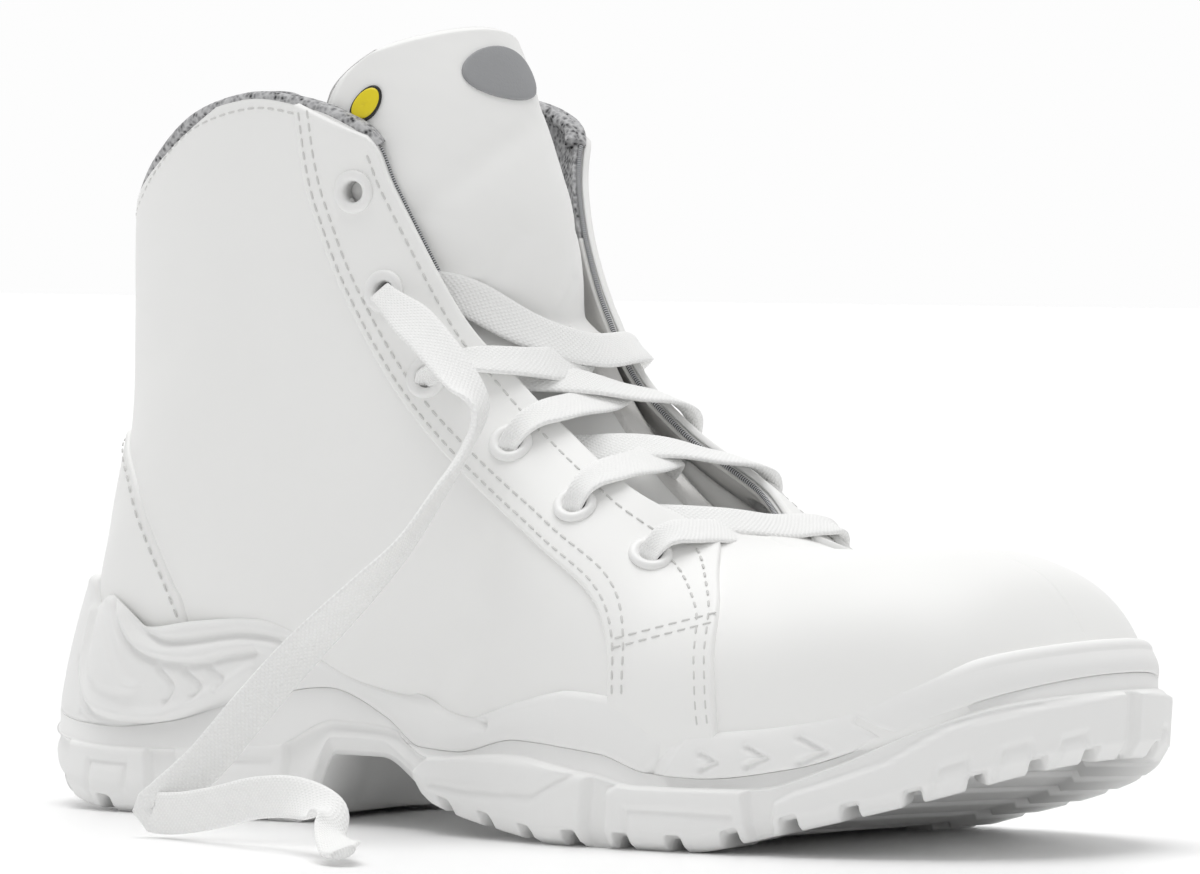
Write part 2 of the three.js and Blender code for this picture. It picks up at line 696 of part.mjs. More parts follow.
// Where the side view's point (x, z) lies on the upper, lateral (-1) or medial (1).
function onUpper(x, z, side) {
  let best = { far: Infinity, row: 6, turn: 0.2 };
  const look = (row, turn) => {
    const p = upperPoint(row, side < 0 ? turn : 1 - turn);
    const far = Math.hypot(p.x - x, p.z - z);
    if (far < best.far) best = { far, row, turn };
  };
  for (let row = 2; row < 17.5; row += 0.5) {
    for (let turn = 0.02; turn < 0.46; turn += 0.02) look(row, turn);
  }
  for (let step = 0.25; step > 1e-4; step /= 2) {
    const { row, turn } = best;
    for (const i of [-1, 0, 1]) {
      for (const j of [-1, 0, 1]) look(row + i * step, turn + j * step * 0.05);
    }
  }
  const [row, turn] = [best.row, -side * best.turn];
  return { row, turn, point: upperPoint(row, turn), normal: upperNormal(row, turn) };
}

// Places a geometry made round the Z axis so that its axis leaves the surface there.
function seat(geometry, spot, lift) {
  const turn = new THREE.Quaternion().setFromUnitVectors(new THREE.Vector3(0, 0, 1), spot.normal);
  geometry.applyQuaternion(turn);
  const at = spot.point.clone().addScaledVector(spot.normal, lift);
  geometry.translate(at.x, at.y, at.z);
  return geometry;
}

const overlayTop = GAP + OVERLAY_THICKNESS;

function eyestayOutline() {
  const throat = sideLine([...COLLAR_LINE, ...THROAT_LINE], CURVE_STEPS);
  const front = sideLine(EYESTAY_FRONT, 8);
  const rear = sideLine(EYESTAY_REAR, 14);
  const start = throat.findIndex(([x]) => x > rear[0][0] + 1);
  return [...rear.reverse(), ...throat.slice(start), ...front.reverse()];
}

// How high an eyelet's flange must start to clear the overlay's facets under it.
function flangeBase(spot, overlayForm) {
  const turn = new THREE.Quaternion().setFromUnitVectors(new THREE.Vector3(0, 0, 1), spot.normal);
  const inward = spot.normal.clone().negate();
  const heights = [0, 1, 2, 3, 4, 5, 6, 7].map((i) => {
    const rim = new THREE.Vector3(EYELET_OUTER / 2, 0, 0);
    rim.applyAxisAngle(new THREE.Vector3(0, 0, 1), (Math.PI * i) / 4).applyQuaternion(turn);
    const above = spot.point.clone().add(rim).addScaledVector(spot.normal, EYELET_OUTER);
    return EYELET_OUTER - new THREE.Raycaster(above, inward).intersectObject(overlayForm)[0].distance;
  });
  return Math.max(overlayTop, ...heights) + GAP;
}

function eyelet(spot) {
  const [hole, barrel, outer] = [EYELET_HOLE / 2, EYELET_BARREL / 2 - GAP, EYELET_OUTER / 2];
  const depth = -WALL;
  const profile = [
    [hole, depth],
    [barrel, depth],
    [barrel, spot.base],
    [outer, spot.base],
    [(hole + 2 * outer) / 3, spot.base + EYELET_FLANGE],
    [hole, spot.base + EYELET_FLANGE],
    [hole, depth],
  ];
  const lathe = new THREE.LatheGeometry(
    profile.map(([r, y]) => new THREE.Vector2(r, y)),
    ROUND_SIDES,
  );
  lathe.rotateX(Math.PI / 2);
  return solidOf(seat(lathe, spot, 0));
}

// Smooth values between the tongue's rows by their number.
function tongueAt(name, position) {
  const last = TONGUE.length - 1;
  const row = Math.min(Math.floor(position), last - 1);
  const t = position - row;
  const at = (index) => TONGUE[Math.min(Math.max(index, 0), last)][name];
  const [a, b, c, d] = [at(row - 1), at(row), at(row + 1), at(row + 2)];
  return (
    b +
    0.5 * t * (c - a + t * (2 * a - 5 * b + 4 * c - d + t * (3 * (b - c) + d - a)))
  );
}

// A point of the tongue: position counts its rows, across runs from -1 (lateral) to 1,
// and depth from 0 on its front face to 1 on its back.
function tonguePoint(position, across, depth) {
  const get = (name) => tongueAt(name, position);
  const ahead = Math.min(position + 0.05, TONGUE.length - 1);
  const behind = Math.max(ahead - 0.1, 0);
  const dx = LENGTH * (tongueAt("x", ahead) - tongueAt("x", behind));
  const dz = COLLAR_HEIGHT * (tongueAt("z", ahead) - tongueAt("z", behind));
  const size = Math.hypot(dx, dz);
  const [frontX, frontZ] = [dz / size, -dx / size];
  const radius = TONGUE_RADIUS * get("radius");
  const angle = THREE.MathUtils.degToRad(get("arc")) * across;
  const thin = Math.sqrt(Math.max(1 - across ** 4, 0));
  const pad = TONGUE_PAD * get("pad") * (0.25 + 0.75 * thin);
  const reach = radius - depth * pad;
  const back = reach * Math.cos(angle) - radius;
  return new THREE.Vector3(
    LENGTH * get("x") + frontX * back,
    reach * Math.sin(angle) + tongueMiddle - TONGUE_LEAN * THREE.MathUtils.smoothstep(position, 3, 8),
    COLLAR_HEIGHT * get("z") + frontZ * back,
  );
}
// How far the tongue's upper part lies towards the lateral side, in millimetres.
const TONGUE_LEAN = 4.5;
const tongueMiddle = WIDTH * SECTIONS[10].middle + 1.5;

function tongueBody() {
  const rings = [];
  const rows = 13;
  const columns = 8;
  for (let i = 0; i <= rows; i += 1) {
    const position = ((TONGUE.length - 1) * i) / rows;
    const ring = [];
    for (let j = 0; j <= columns; j += 1) ring.push(tonguePoint(position, -1 + (2 * j) / columns, 0));
    for (let j = columns; j >= 0; j -= 1) ring.push(tonguePoint(position, -1 + (2 * j) / columns, 1));
    rings.push(ring);
  }
  const ends = [rings[0], rings[rows]].map((ring) => average(ring));
  return skin(rings, ...ends);
}


// The counter round the heel, as an outline that reaches back past the heel.
function counterOutline() {
  const edge = sideLine(COUNTER_EDGE, 12);
  return [[-LENGTH, edge[0][1]], ...edge, [-LENGTH, edge[edge.length - 1][1]]];
}

// A solid along a route with a flat section. widths are the section's wide directions.
function band(route, widths, width, thickness, corners = 4) {
  const rings = route.map((point, i) => {
    const ahead = route[Math.min(i + 1, route.length - 1)];
    const along = ahead.clone().sub(route[Math.max(i - 1, 0)]).normalize();
    const wide = widths[i].clone().addScaledVector(along, -widths[i].dot(along)).normalize();
    const thick = along.clone().cross(wide);
    const section = corners === 4 ? FLAT_SECTION : ROUNDED_SECTION;
    return section.map(([a, b]) =>
      point
        .clone()
        .addScaledVector(wide, (a * width) / 2)
        .addScaledVector(thick, (b * thickness) / 2),
    );
  });
  return skin(rings, route[0].clone(), route[route.length - 1].clone());
}

// One lace strand: out of its eyelet, over its edge of the throat, across, and down to
// just short of the opposite edge, where it dives under. form is the upper's full form.
function strand(form, from, to, lift) {
  const middle = from.normal.clone().add(to.normal).normalize();
  const inward = middle.clone().negate();
  const outAt = (share) =>
    from.normal
      .clone()
      .multiplyScalar((1 - share) ** 2)
      .addScaledVector(middle, 2 * share * (1 - share))
      .addScaledVector(to.normal, share ** 2)
      .normalize();
  const at = (share) => {
    const above = from.point.clone().lerp(to.point, share).addScaledVector(middle, COLLAR_HEIGHT);
    const [{ point }] = new THREE.Raycaster(above, inward).intersectObject(form);
    return point;
  };
  const raised = (share) => lift * Math.min(2 * share, 1) + from.base * Math.max(1 - 3 * share, 0);
  const route = STRAND_STEPS.map(({ along, off }) =>
    at(along).addScaledVector(outAt(along), off + raised(along)),
  );
  const widths = STRAND_STEPS.map(({ along }) =>
    at(along + 0.03).sub(at(Math.max(along - 0.03, 0))).cross(outAt(along)).normalize(),
  );
  return band(route, widths, LACE_WIDTH * 0.8, LACE_THICKNESS);
}

// The free end's route, chosen by hand: out of the second eyelet, down past the sole to
// the ground, folded back along it, and up over itself in a low hump to its tip.
function laceEnd() {
  const route = LACE_ROUTE.map(({ x, y, z }) => new THREE.Vector3(x, y, z));
  const curve = new THREE.CatmullRomCurve3(route);
  const steps = 28;
  const points = [];
  const widths = [];
  for (let i = 0; i <= steps; i += 1) {
    const t = i / steps;
    const place = t * (LACE_ROUTE.length - 1);
    const row = Math.min(Math.floor(place), LACE_ROUTE.length - 2);
    const { face } = LACE_ROUTE[row];
    const turned = face + (LACE_ROUTE[row + 1].face - face) * (place - row);
    const along = curve.getTangent(t);
    const flat = LACE_LOOK.clone().cross(along).normalize();
    const deep = flat.clone().cross(along).normalize();
    const angle = THREE.MathUtils.degToRad(turned);
    points.push(curve.getPoint(t));
    widths.push(flat.multiplyScalar(Math.cos(angle)).addScaledVector(deep, Math.sin(angle)));
  }
  return band(points, widths, LACE_WIDTH, LACE_THICKNESS, 8);
}

// A thin piece that lies on the tongue's front face, from a share of its rows and arc.
function tongueTrim(position, across, width, height) {
  const rings = [];
  const centre = tonguePoint(position, across, 0);
  const right = tonguePoint(position, across + 0.02, 0).sub(tonguePoint(position, across - 0.02, 0));
  const up = tonguePoint(position + 0.05, across, 0).sub(tonguePoint(position - 0.05, across, 0));
  const perUnitAcross = 0.04 / right.length();
  const perUnitUp = 0.1 / up.length();
  const sides = 12;
  const out = right.clone().cross(up).normalize();
  for (const [lift, size] of [
    [GAP, 1],
    [GAP + TRIM_THICKNESS, 1],
  ]) {
    rings.push(
      Array.from({ length: sides }, (_, i) => {
        const angle = (2 * Math.PI * i) / sides;
        const rowShift = (size * height * Math.sin(angle) * perUnitUp) / 2;
        const arcShift = (size * width * Math.cos(angle) * perUnitAcross) / 2;
        return tonguePoint(position + rowShift, across + arcShift, 0).addScaledVector(out, lift);
      }),
    );
  }
  const [low, high] = [GAP, GAP + TRIM_THICKNESS].map((lift) => centre.clone().addScaledVector(out, lift));
  return skin(rings, low, high);
}

const shoe = new THREE.Group();
const outer = upperForm(0);
const inner = upperForm(-WALL);
const tub = upperForm(GAP).intersect(aboveFootbed(0, boxAbove(2 * COLLAR_HEIGHT)));
const standing = aboveFootbed(GAP, boxAbove(3 * COLLAR_HEIGHT));
const opening = collarOpening();
const overlaySkin = meshOf("overlay", upperForm(overlayTop), leather);
const eyeletSpots = [-1, 1].map((side) =>
  EYELETS.map(({ x, z }) => {
    const spot = onUpper(x * LENGTH, z * COLLAR_HEIGHT, side);
    return { ...spot, base: flangeBase(spot, overlaySkin) };
  }),
);
const eyeletHole = (spot) => {
  const hole = new THREE.CylinderGeometry(EYELET_BARREL / 2, EYELET_BARREL / 2, 16, ROUND_SIDES);
  return solidOf(seat(hole.rotateX(Math.PI / 2), spot, 0));
};
const eyeletHoles = eyeletSpots.flat().map(eyeletHole).reduce((all, hole) => all.add(hole));

const upper = outer.subtract(inner).intersect(standing).subtract(opening).subtract(eyeletHoles);
shoe.add(meshOf("upper", upper, leather));
const lowered = midsoleBody().translate([0, 0, -GAP]);
const outsole = outsoleBody().subtract(lugGrooves()).subtract(lowered).subtract(tub);
shoe.add(meshOf("outsole", outsole, sole));
shoe.add(meshOf("midsole", midsoleBody().subtract(tub), sole));

const insoleTop = aboveFootbed(GAP + INSOLE_THICKNESS, boxAbove(2 * COLLAR_HEIGHT));
const insole = upperForm(-WALL - GAP).intersect(standing).subtract(insoleTop);
shoe.add(meshOf("insole", insole, textile));
shoe.add(meshOf("tongue", tongueBody(), leather));

const overlay = upperForm(overlayTop).subtract(upperForm(GAP)).subtract(midsoleBody(GAP));
const sides = ["lateral", "medial"];
sides.forEach((name, index) => {
  const [y0, y1] = index === 0 ? [-OUTSIDE, 0] : [0, OUTSIDE];
  const eyestay = overlay
    .intersect(sideBlock(eyestayOutline(), y0, y1))
    .subtract(opening)
    .subtract(eyeletHoles);
  shoe.add(meshOf(`eyestay_${name}`, eyestay, leather));
});
const counter = overlay.intersect(sideBlock(counterOutline(), -OUTSIDE, OUTSIDE));
shoe.add(meshOf("heel_counter", counter, leather));

eyeletSpots.forEach((spots, index) => {
  spots.forEach((spot, i) => {
    shoe.add(meshOf(`eyelet_${sides[index]}_${i + 1}`, eyelet(spot), plastic));
  });
});

shoe.add(meshOf("tongue_badge", tongueTrim(9.2, -0.02, BADGE_WIDTH, BADGE_HEIGHT), greyTextile));
shoe.add(meshOf("tongue_disc", tongueTrim(8.4, -0.8, DISC_DIAMETER, DISC_DIAMETER), discYellow));

const form = meshOf("form", outer, leather);
const [lateralSpots, medialSpots] = eyeletSpots;
for (let i = 5; i >= 2; i -= 1) {
  const lift = CROSSING_LIFTS[5 - i];
  const under = strand(form, lateralSpots[i], medialSpots[i - 1], lift);
  const over = strand(form, medialSpots[i], lateralSpots[i - 1], lift);
  shoe.add(meshOf(`lace_crossing_${6 - i}`, under.add(over), textile));
}
shoe.add(meshOf("lace_end", laceEnd(), textile));

export default shoe;
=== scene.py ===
"""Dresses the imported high-top safety shoe: microfibre upper, cup sole, lacing and studio."""

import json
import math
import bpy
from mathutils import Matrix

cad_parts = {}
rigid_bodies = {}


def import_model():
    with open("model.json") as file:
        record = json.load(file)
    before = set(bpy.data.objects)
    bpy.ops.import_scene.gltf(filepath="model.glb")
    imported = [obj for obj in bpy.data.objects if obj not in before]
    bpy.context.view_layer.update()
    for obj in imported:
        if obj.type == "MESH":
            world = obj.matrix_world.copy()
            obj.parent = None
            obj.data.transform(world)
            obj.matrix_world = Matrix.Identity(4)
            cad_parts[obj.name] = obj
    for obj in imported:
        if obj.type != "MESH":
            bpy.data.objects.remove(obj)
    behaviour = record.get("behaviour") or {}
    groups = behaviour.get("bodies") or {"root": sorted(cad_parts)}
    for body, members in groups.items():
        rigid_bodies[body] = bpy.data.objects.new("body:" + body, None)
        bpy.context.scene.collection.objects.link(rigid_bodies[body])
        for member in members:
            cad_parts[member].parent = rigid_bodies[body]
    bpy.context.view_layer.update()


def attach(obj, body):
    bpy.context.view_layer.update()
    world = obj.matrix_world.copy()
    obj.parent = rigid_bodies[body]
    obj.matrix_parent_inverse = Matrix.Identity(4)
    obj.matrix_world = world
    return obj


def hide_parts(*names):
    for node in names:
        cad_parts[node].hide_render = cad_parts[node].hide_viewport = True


bl_info = {
    "name": "High-top safety shoe",
    "version": (1, 0, 0),
    "blender": (4, 5, 0),
    "location": "View3D > Sidebar > Shoe",
    "description": "Builds the visible pieces of a white high-top safety shoe",
    "category": "Object",
}

import bmesh
import bpy
import numpy as np
from mathutils import Vector
from mathutils.bvhtree import BVHTree

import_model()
MM = 0.001

# Sizes in millimetres, the same as the part's own.
LENGTH, WIDTH, COLLAR_HEIGHT, RIM_HEIGHT, FOOTBED_HEIGHT = 298, 108, 166, 46, 27
LEDGE_DEPTH, RIM_LEAN = 2.4, 7
TONGUE_RADIUS, TONGUE_PAD = 28, 10
THROAT_FRONT = 0.175 * LENGTH

# The upper's sections from the toe's tip: low and high point in the side view, widths on
# each side, the middle, the share of the way up where it is widest, and two powers.
SECTION_COLUMNS = "lowX lowZ highX highZ lateral medial middle widest top base".split()
SECTIONS = np.array([
    (0.481, 0.2, 0.481, 0.2, 0, 0, 0.085, 0.4, 2.3, 3),
    (0.474, 0.14, 0.455, 0.29, 0.2, 0.18, 0.085, 0.38, 2.3, 3),
    (0.447, 0.115, 0.426, 0.356, 0.33, 0.295, 0.078, 0.36, 2.4, 3.4),
    (0.405, 0.1, 0.387, 0.388, 0.403, 0.362, 0.065, 0.35, 2.5, 4),
    (0.352, 0.09, 0.341, 0.398, 0.44, 0.405, 0.048, 0.34, 2.5, 4),
    (0.28, 0.078, 0.265, 0.391, 0.46, 0.43, 0.025, 0.32, 2.4, 4),
    (0.208, 0.072, 0.182, 0.404, 0.468, 0.445, 0.008, 0.3, 2.3, 4),
    (0.14, 0.072, 0.112, 0.497, 0.46, 0.42, 0, 0.3, 2.3, 4),
    (0.072, 0.076, 0.051, 0.572, 0.438, 0.378, -0.004, 0.31, 2.3, 3.8),
    (-0.01, 0.086, 0.004, 0.664, 0.408, 0.342, -0.008, 0.33, 2.3, 3.4),
    (-0.11, 0.105, -0.024, 0.778, 0.376, 0.328, -0.012, 0.36, 2.5, 3.1),
    (-0.232, 0.125, -0.04, 0.88, 0.357, 0.345, -0.016, 0.4, 2.8, 2.9),
    (-0.36, 0.132, -0.047, 0.964, 0.347, 0.375, -0.018, 0.44, 3.2, 2.6),
    (-0.45, 0.19, -0.048, 1.018, 0.345, 0.4, -0.016, 0.47, 3.6, 2.35),
    (-0.447, 0.33, -0.045, 1.06, 0.346, 0.415, -0.014, 0.49, 3.8, 2.2),
    (-0.43, 0.49, -0.044, 1.1, 0.348, 0.425, -0.012, 0.5, 4, 2.1),
    (-0.428, 0.64, -0.046, 1.14, 0.35, 0.43, -0.01, 0.5, 4, 2.05),
    (-0.426, 0.79, -0.046, 1.19, 0.352, 0.433, -0.01, 0.5, 4, 2.05),
    (-0.42, 0.93, -0.046, 1.25, 0.352, 0.433, -0.01, 0.5, 4, 2.05),
])

# Curves along the shoe: (share of LENGTH, share of the height or width named beside it).
LATERAL_SIDE = [(-0.367, -0.384), (-0.25, -0.38), (-0.12, -0.378), (0, -0.44), (0.118, -0.5)]
MEDIAL_SIDE = [(-0.367, 0.348), (-0.25, 0.315), (-0.11, 0.29), (0.03, 0.37), (0.14, 0.475), (0.22, 0.5)]
GROUND = [(-0.5, 0.38), (-0.475, 0.21), (-0.44, 0.09), (-0.4, 0.03), (-0.36, 0), (-0.18, 0),
          (-0.162, 0.13), (-0.141, 0.35), (-0.093, 0.35), (-0.05, 0.23), (-0.02, 0.13),
          (0.07, 0.03), (0.11, 0), (0.24, 0), (0.31, 0.09), (0.42, 0.27), (0.5, 0.45)]
LEDGE = [(-0.5, 0.42), (-0.44, 0.34), (-0.36, 0.31), (-0.2, 0.36), (-0.14, 0.5), (-0.08, 0.48),
         (-0.03, 0.36), (0.07, 0.4), (0.15, 0.34), (0.2, 0.29), (0.3, 0.3), (0.36, 0.42),
         (0.42, 0.6), (0.47, 0.72), (0.5, 0.76)]
PARTING = [(-0.5, 0.54), (-0.44, 0.46), (-0.37, 0.43), (-0.31, 0.47), (-0.24, 0.58),
           (-0.145, 0.68), (-0.085, 0.55), (-0.045, 0.42), (0, 0.41), (0.07, 0.49),
           (0.16, 0.45), (0.205, 0.37), (0.25, 0.355), (0.33, 0.42), (0.39, 0.55),
           (0.45, 0.74), (0.5, 0.86)]
RIM = [(-0.5, 1.16), (-0.452, 1.18), (-0.437, 1.17), (-0.42, 1.03), (-0.395, 1.09), (-0.37, 1.04),
       (-0.34, 0.94), (-0.29, 0.98), (-0.22, 1.01), (-0.17, 0.95), (-0.135, 0.86), (-0.06, 0.7),
       (0.01, 0.585), (0.07, 0.68), (0.13, 0.745), (0.18, 0.72), (0.235, 0.575), (0.29, 0.6),
       (0.35, 0.67), (0.41, 0.83), (0.46, 0.96), (0.5, 1.02)]
LEAN = [(-0.5, 1), (-0.43, 0.9), (-0.36, 0.25), (-0.3, 0), (0.4, 0), (0.5, 0.25)]
FOOTBED = [(-0.5, 1.05), (-0.37, 1), (-0.24, 0.96), (-0.11, 0.87), (0, 0.68), (0.12, 0.57),
           (0.24, 0.58), (0.34, 0.71), (0.43, 0.95), (0.5, 1.16)]

# Lines seen from the side: (share of LENGTH, share of COLLAR_HEIGHT).
COLLAR_LINE = [(-0.46, 0.832), (-0.42, 0.84), (-0.385, 0.862), (-0.345, 0.912), (-0.29, 0.971),
               (-0.225, 1), (-0.175, 0.992), (-0.135, 0.972), (-0.107, 0.94)]
THROAT_LINE = [(-0.09, 0.87), (-0.038, 0.71), (0.009, 0.608), (0.059, 0.534), (0.11, 0.475),
               (0.175, 0.4)]
EYESTAY_REAR = [(-0.178, 1.02), (-0.177, 0.98), (-0.163, 0.858), (-0.132, 0.735), (-0.076, 0.6),
                (-0.008, 0.493), (0.072, 0.402), (0.131, 0.339), (0.159, 0.275), (0.167, 0.2),
                (0.168, 0.11)]
EYESTAY_FRONT = [(0.264, 0.11), (0.264, 0.17), (0.256, 0.253), (0.237, 0.329), (0.18, 0.398)]
COUNTER_EDGE = [(-0.5, 0.54), (-0.41, 0.53), (-0.384, 0.511), (-0.356, 0.466), (-0.337, 0.408),
                (-0.313, 0.325), (-0.302, 0.278), (-0.295, 0.1)]
EYELETS = [(-0.122, 0.87), (-0.092, 0.733), (-0.048, 0.616), (0.026, 0.526), (0.095, 0.445),
           (0.16, 0.381)]
TONGUE_COLUMNS = "x z radius arc pad".split()
TONGUE = np.array([
    (0.165, 0.335, 2.2, 24, 0.25), (0.108, 0.386, 1.6, 31, 0.25), (0.056, 0.456, 1.3, 37, 0.25),
    (0.01, 0.546, 1.12, 46, 0.28), (-0.023, 0.64, 1, 58, 0.35), (-0.028, 0.7, 0.97, 68, 0.75),
    (-0.026, 0.76, 0.97, 80, 1), (-0.034, 0.85, 1, 93, 1), (-0.052, 0.94, 1.03, 102, 1),
    (-0.071, 1.02, 1.04, 102, 0.95), (-0.086, 1.075, 1.03, 84, 0.75), (-0.092, 1.098, 1, 56, 0.35),
])
TONGUE_MIDDLE = WIDTH * -0.012 + 1.5
TONGUE_LEAN = 4.5

# The free lace end in millimetres, and how far its band is turned edge-on, in degrees.
LACE_ROUTE = np.array([
    (-25, -41.1, 121.5, 10), (-9, -45, 113, 15), (5, -48, 102, 35), (11, -50, 95, 75),
    (10, -53, 87, 85), (6, -57, 78, 75), (0, -62, 66, 65), (-7, -68, 56, 45), (-19, -75, 42, 20),
    (-28, -82, 29, 5), (-37, -87, 17, 0), (-45, -91, 9, 0), (-48, -92, 6, 0), (-39, -94, 6, 5),
    (-25, -97, 8, 10), (-10, -100, 11, 10), (5, -104, 12, 15), (18, -108, 10, 40),
    (24, -113, 6, 60), (32, -120, 4, 50), (40, -127, 3, 40),
], float)
LACE_LOOK = np.array([-0.643, 0.766, 0])
LACE_WIDTH, LACE_THICKNESS = 9.4, 1.7

# Sizes of the visible pieces, in millimetres.
SHELL_WALL, LINING_BACK, LINING_FACE = 1.2, -2.7, -1.35
OVERLAY_TOP, COUNTER_TOP, OVERLAY_SUNK, SLAB_ROUNDING = 1.35, 1.0, -0.3, 0.8
STITCH_PITCH, STITCH_LENGTH, STITCH_RADIUS, STITCH_LIFT = 3.0, 2.1, 0.3, 1.4
EYELET_RADIUS, EYELET_BORE, EYELET_SEAT, EYELET_BARREL = 5.0, 2.4, 1.35, 2.4
LUG_PITCH, HEEL_LUG_PITCH, NOTCH_DEPTH = 14.2, 15.5, 2.9
RIM_ROLL = 2.2
# Where the eyestay's rear edge turns down, and the seams across its front, as (x, z).
EYESTAY_BEND = (37, 57.5)
CROSS_SEAMS = [[(49.5, 45.6), (73.5, 51.6)], [(49.5, 43.6), (73.5, 49.6)]]


def unit(vectors):
    """Vectors of length one."""
    size = np.linalg.norm(vectors, axis=-1, keepdims=True)
    return vectors / np.maximum(size, 1e-9)


def smooth(value, low, high):
    """0 below low, 1 above high, and a soft step between them."""
    t = np.clip((value - low) / (high - low), 0, 1)
    return t * t * (3 - 2 * t)


def catmull(padded, position):
    """Catmull-Rom between rows, where padded has one row more at each end."""
    row = np.clip(np.floor(position).astype(int), 0, len(padded) - 4)
    t = position - row
    a, b, c, d = (padded[row + i] for i in range(4))
    return b + 0.5 * t * (c - a + t * (2 * a - 5 * b + 4 * c - d + t * (3 * (b - c) + d - a)))


def padded_sections():
    """The section table with a mirrored row before the toe's tip and one past its end."""
    first = SECTIONS[1].copy()
    first[[0, 1, 2, 3]] = SECTIONS[1][[2, 3, 0, 1]]
    first[[4, 5]] *= -1
    return np.vstack([first, SECTIONS, 2 * SECTIONS[-1] - SECTIONS[-2]])


PADDED_SECTIONS = padded_sections()
PADDED_TONGUE = np.vstack([TONGUE[0], TONGUE, TONGUE[-1]])


def section(name, row):
    return catmull(PADDED_SECTIONS[:, SECTION_COLUMNS.index(name)], row)


def tongue_at(name, row):
    return catmull(PADDED_TONGUE[:, TONGUE_COLUMNS.index(name)], row)


def by_x(table, x):
    """A smooth curve through a table's points that doesn't swing past them."""
    xs, ys = np.array(table, float).T
    slopes = np.diff(ys) / np.diff(xs)
    product = slopes[:-1] * slopes[1:]
    total = np.where(product > 0, slopes[:-1] + slopes[1:], 1)
    inner = np.where(product > 0, 2 * product / total, 0)
    tangents = np.concatenate([[slopes[0]], inner, [slopes[-1]]])
    share = np.clip(np.asarray(x, float) / LENGTH, xs[0], xs[-1])
    i = np.clip(np.searchsorted(xs, share) - 1, 0, len(xs) - 2)
    width = xs[i + 1] - xs[i]
    t = (share - xs[i]) / width
    rest = 1 - t
    return (ys[i] * rest * rest * (1 + 2 * t) + ys[i + 1] * t * t * (3 - 2 * t)
            + width * t * rest * (tangents[i] * rest - tangents[i + 1] * t))


def height_of(table):
    """A height over x in millimetres, from a table of shares of RIM_HEIGHT."""
    return lambda x: by_x(table, x) * RIM_HEIGHT


ground_at, ledge_at, parting_at, rim_at = map(height_of, (GROUND, LEDGE, PARTING, RIM))


def smooth_line(points, steps=40):
    """Points on a smooth line through a few points."""
    points = np.array(points, float)
    padded = np.vstack([points[0], points, points[-1]])
    at = np.linspace(0, len(points) - 1, steps)
    return np.stack([catmull(padded[:, k], at) for k in (0, 1)], 1)


def side_line(table, steps=60):
    """Millimetre points (x, z) on a smooth line through a table's side-view points."""
    return smooth_line(np.array(table, float) * (LENGTH, COLLAR_HEIGHT), steps)


def run_of(points):
    """The distance along a line of points, from 0."""
    return np.concatenate([[0], np.cumsum(np.linalg.norm(np.diff(points, axis=0), axis=1))])


def circle(count):
    """Even angles once round."""
    return 2 * np.pi * np.arange(count) / count


def resample(points, count, closed=False):
    """Points at even distances along a polyline."""
    points = np.vstack([points, points[:1]]) if closed else np.asarray(points, float)
    run = run_of(points)
    at = np.linspace(0, run[-1], count + 1)[:-1] if closed else np.linspace(0, run[-1], count)
    return np.stack([np.interp(at, run, points[:, k]) for k in range(points.shape[1])], 1)


def upper_point(row, turn):
    """A point of the upper's outer surface, in millimetres. turn is 0 at the high point,
    half a turn at the low point, positive over the lateral side."""
    row, turn = np.broadcast_arrays(np.asarray(row, float), np.asarray(turn, float))
    get = {name: section(name, row) for name in SECTION_COLUMNS}
    cosine, sine = np.cos(2 * np.pi * turn), np.sin(2 * np.pi * turn)
    roundness = 2 / np.where(cosine > 0, get["top"], get["base"])
    reach = np.where(cosine > 0, 1 - get["widest"], get["widest"])
    up = get["widest"] + reach * np.sign(cosine) * np.abs(cosine) ** roundness
    side = np.where(sine > 0, -get["lateral"], get["medial"])
    return np.stack([
        LENGTH * (get["lowX"] + up * (get["highX"] - get["lowX"])),
        WIDTH * (get["middle"] + side * np.abs(sine) ** roundness),
        COLLAR_HEIGHT * (get["lowZ"] + up * (get["highZ"] - get["lowZ"])),
    ], -1)


def upper_normal(row, turn):
    """The outward direction of the upper's surface."""
    row = np.asarray(row, float)
    ahead, behind = np.minimum(row + 0.05, 17.99), np.maximum(row - 0.05, 0.001)
    along = upper_point(ahead, turn) - upper_point(behind, turn)
    around = upper_point(row, turn + 0.004) - upper_point(row, turn - 0.004)
    return -unit(np.cross(around, along))


def side_ends(row):
    """The low and high points of section rows, seen from the side."""
    return [np.stack([LENGTH * section(end + "X", row), COLLAR_HEIGHT * section(end + "Z", row)], 1)
            for end in ("low", "high")]


# Rows that on_upper searches, with their low and high points.
ROW_SCAN = np.linspace(0.3, 17.9, 900)
SCAN_LOW, SCAN_HIGH = side_ends(ROW_SCAN)


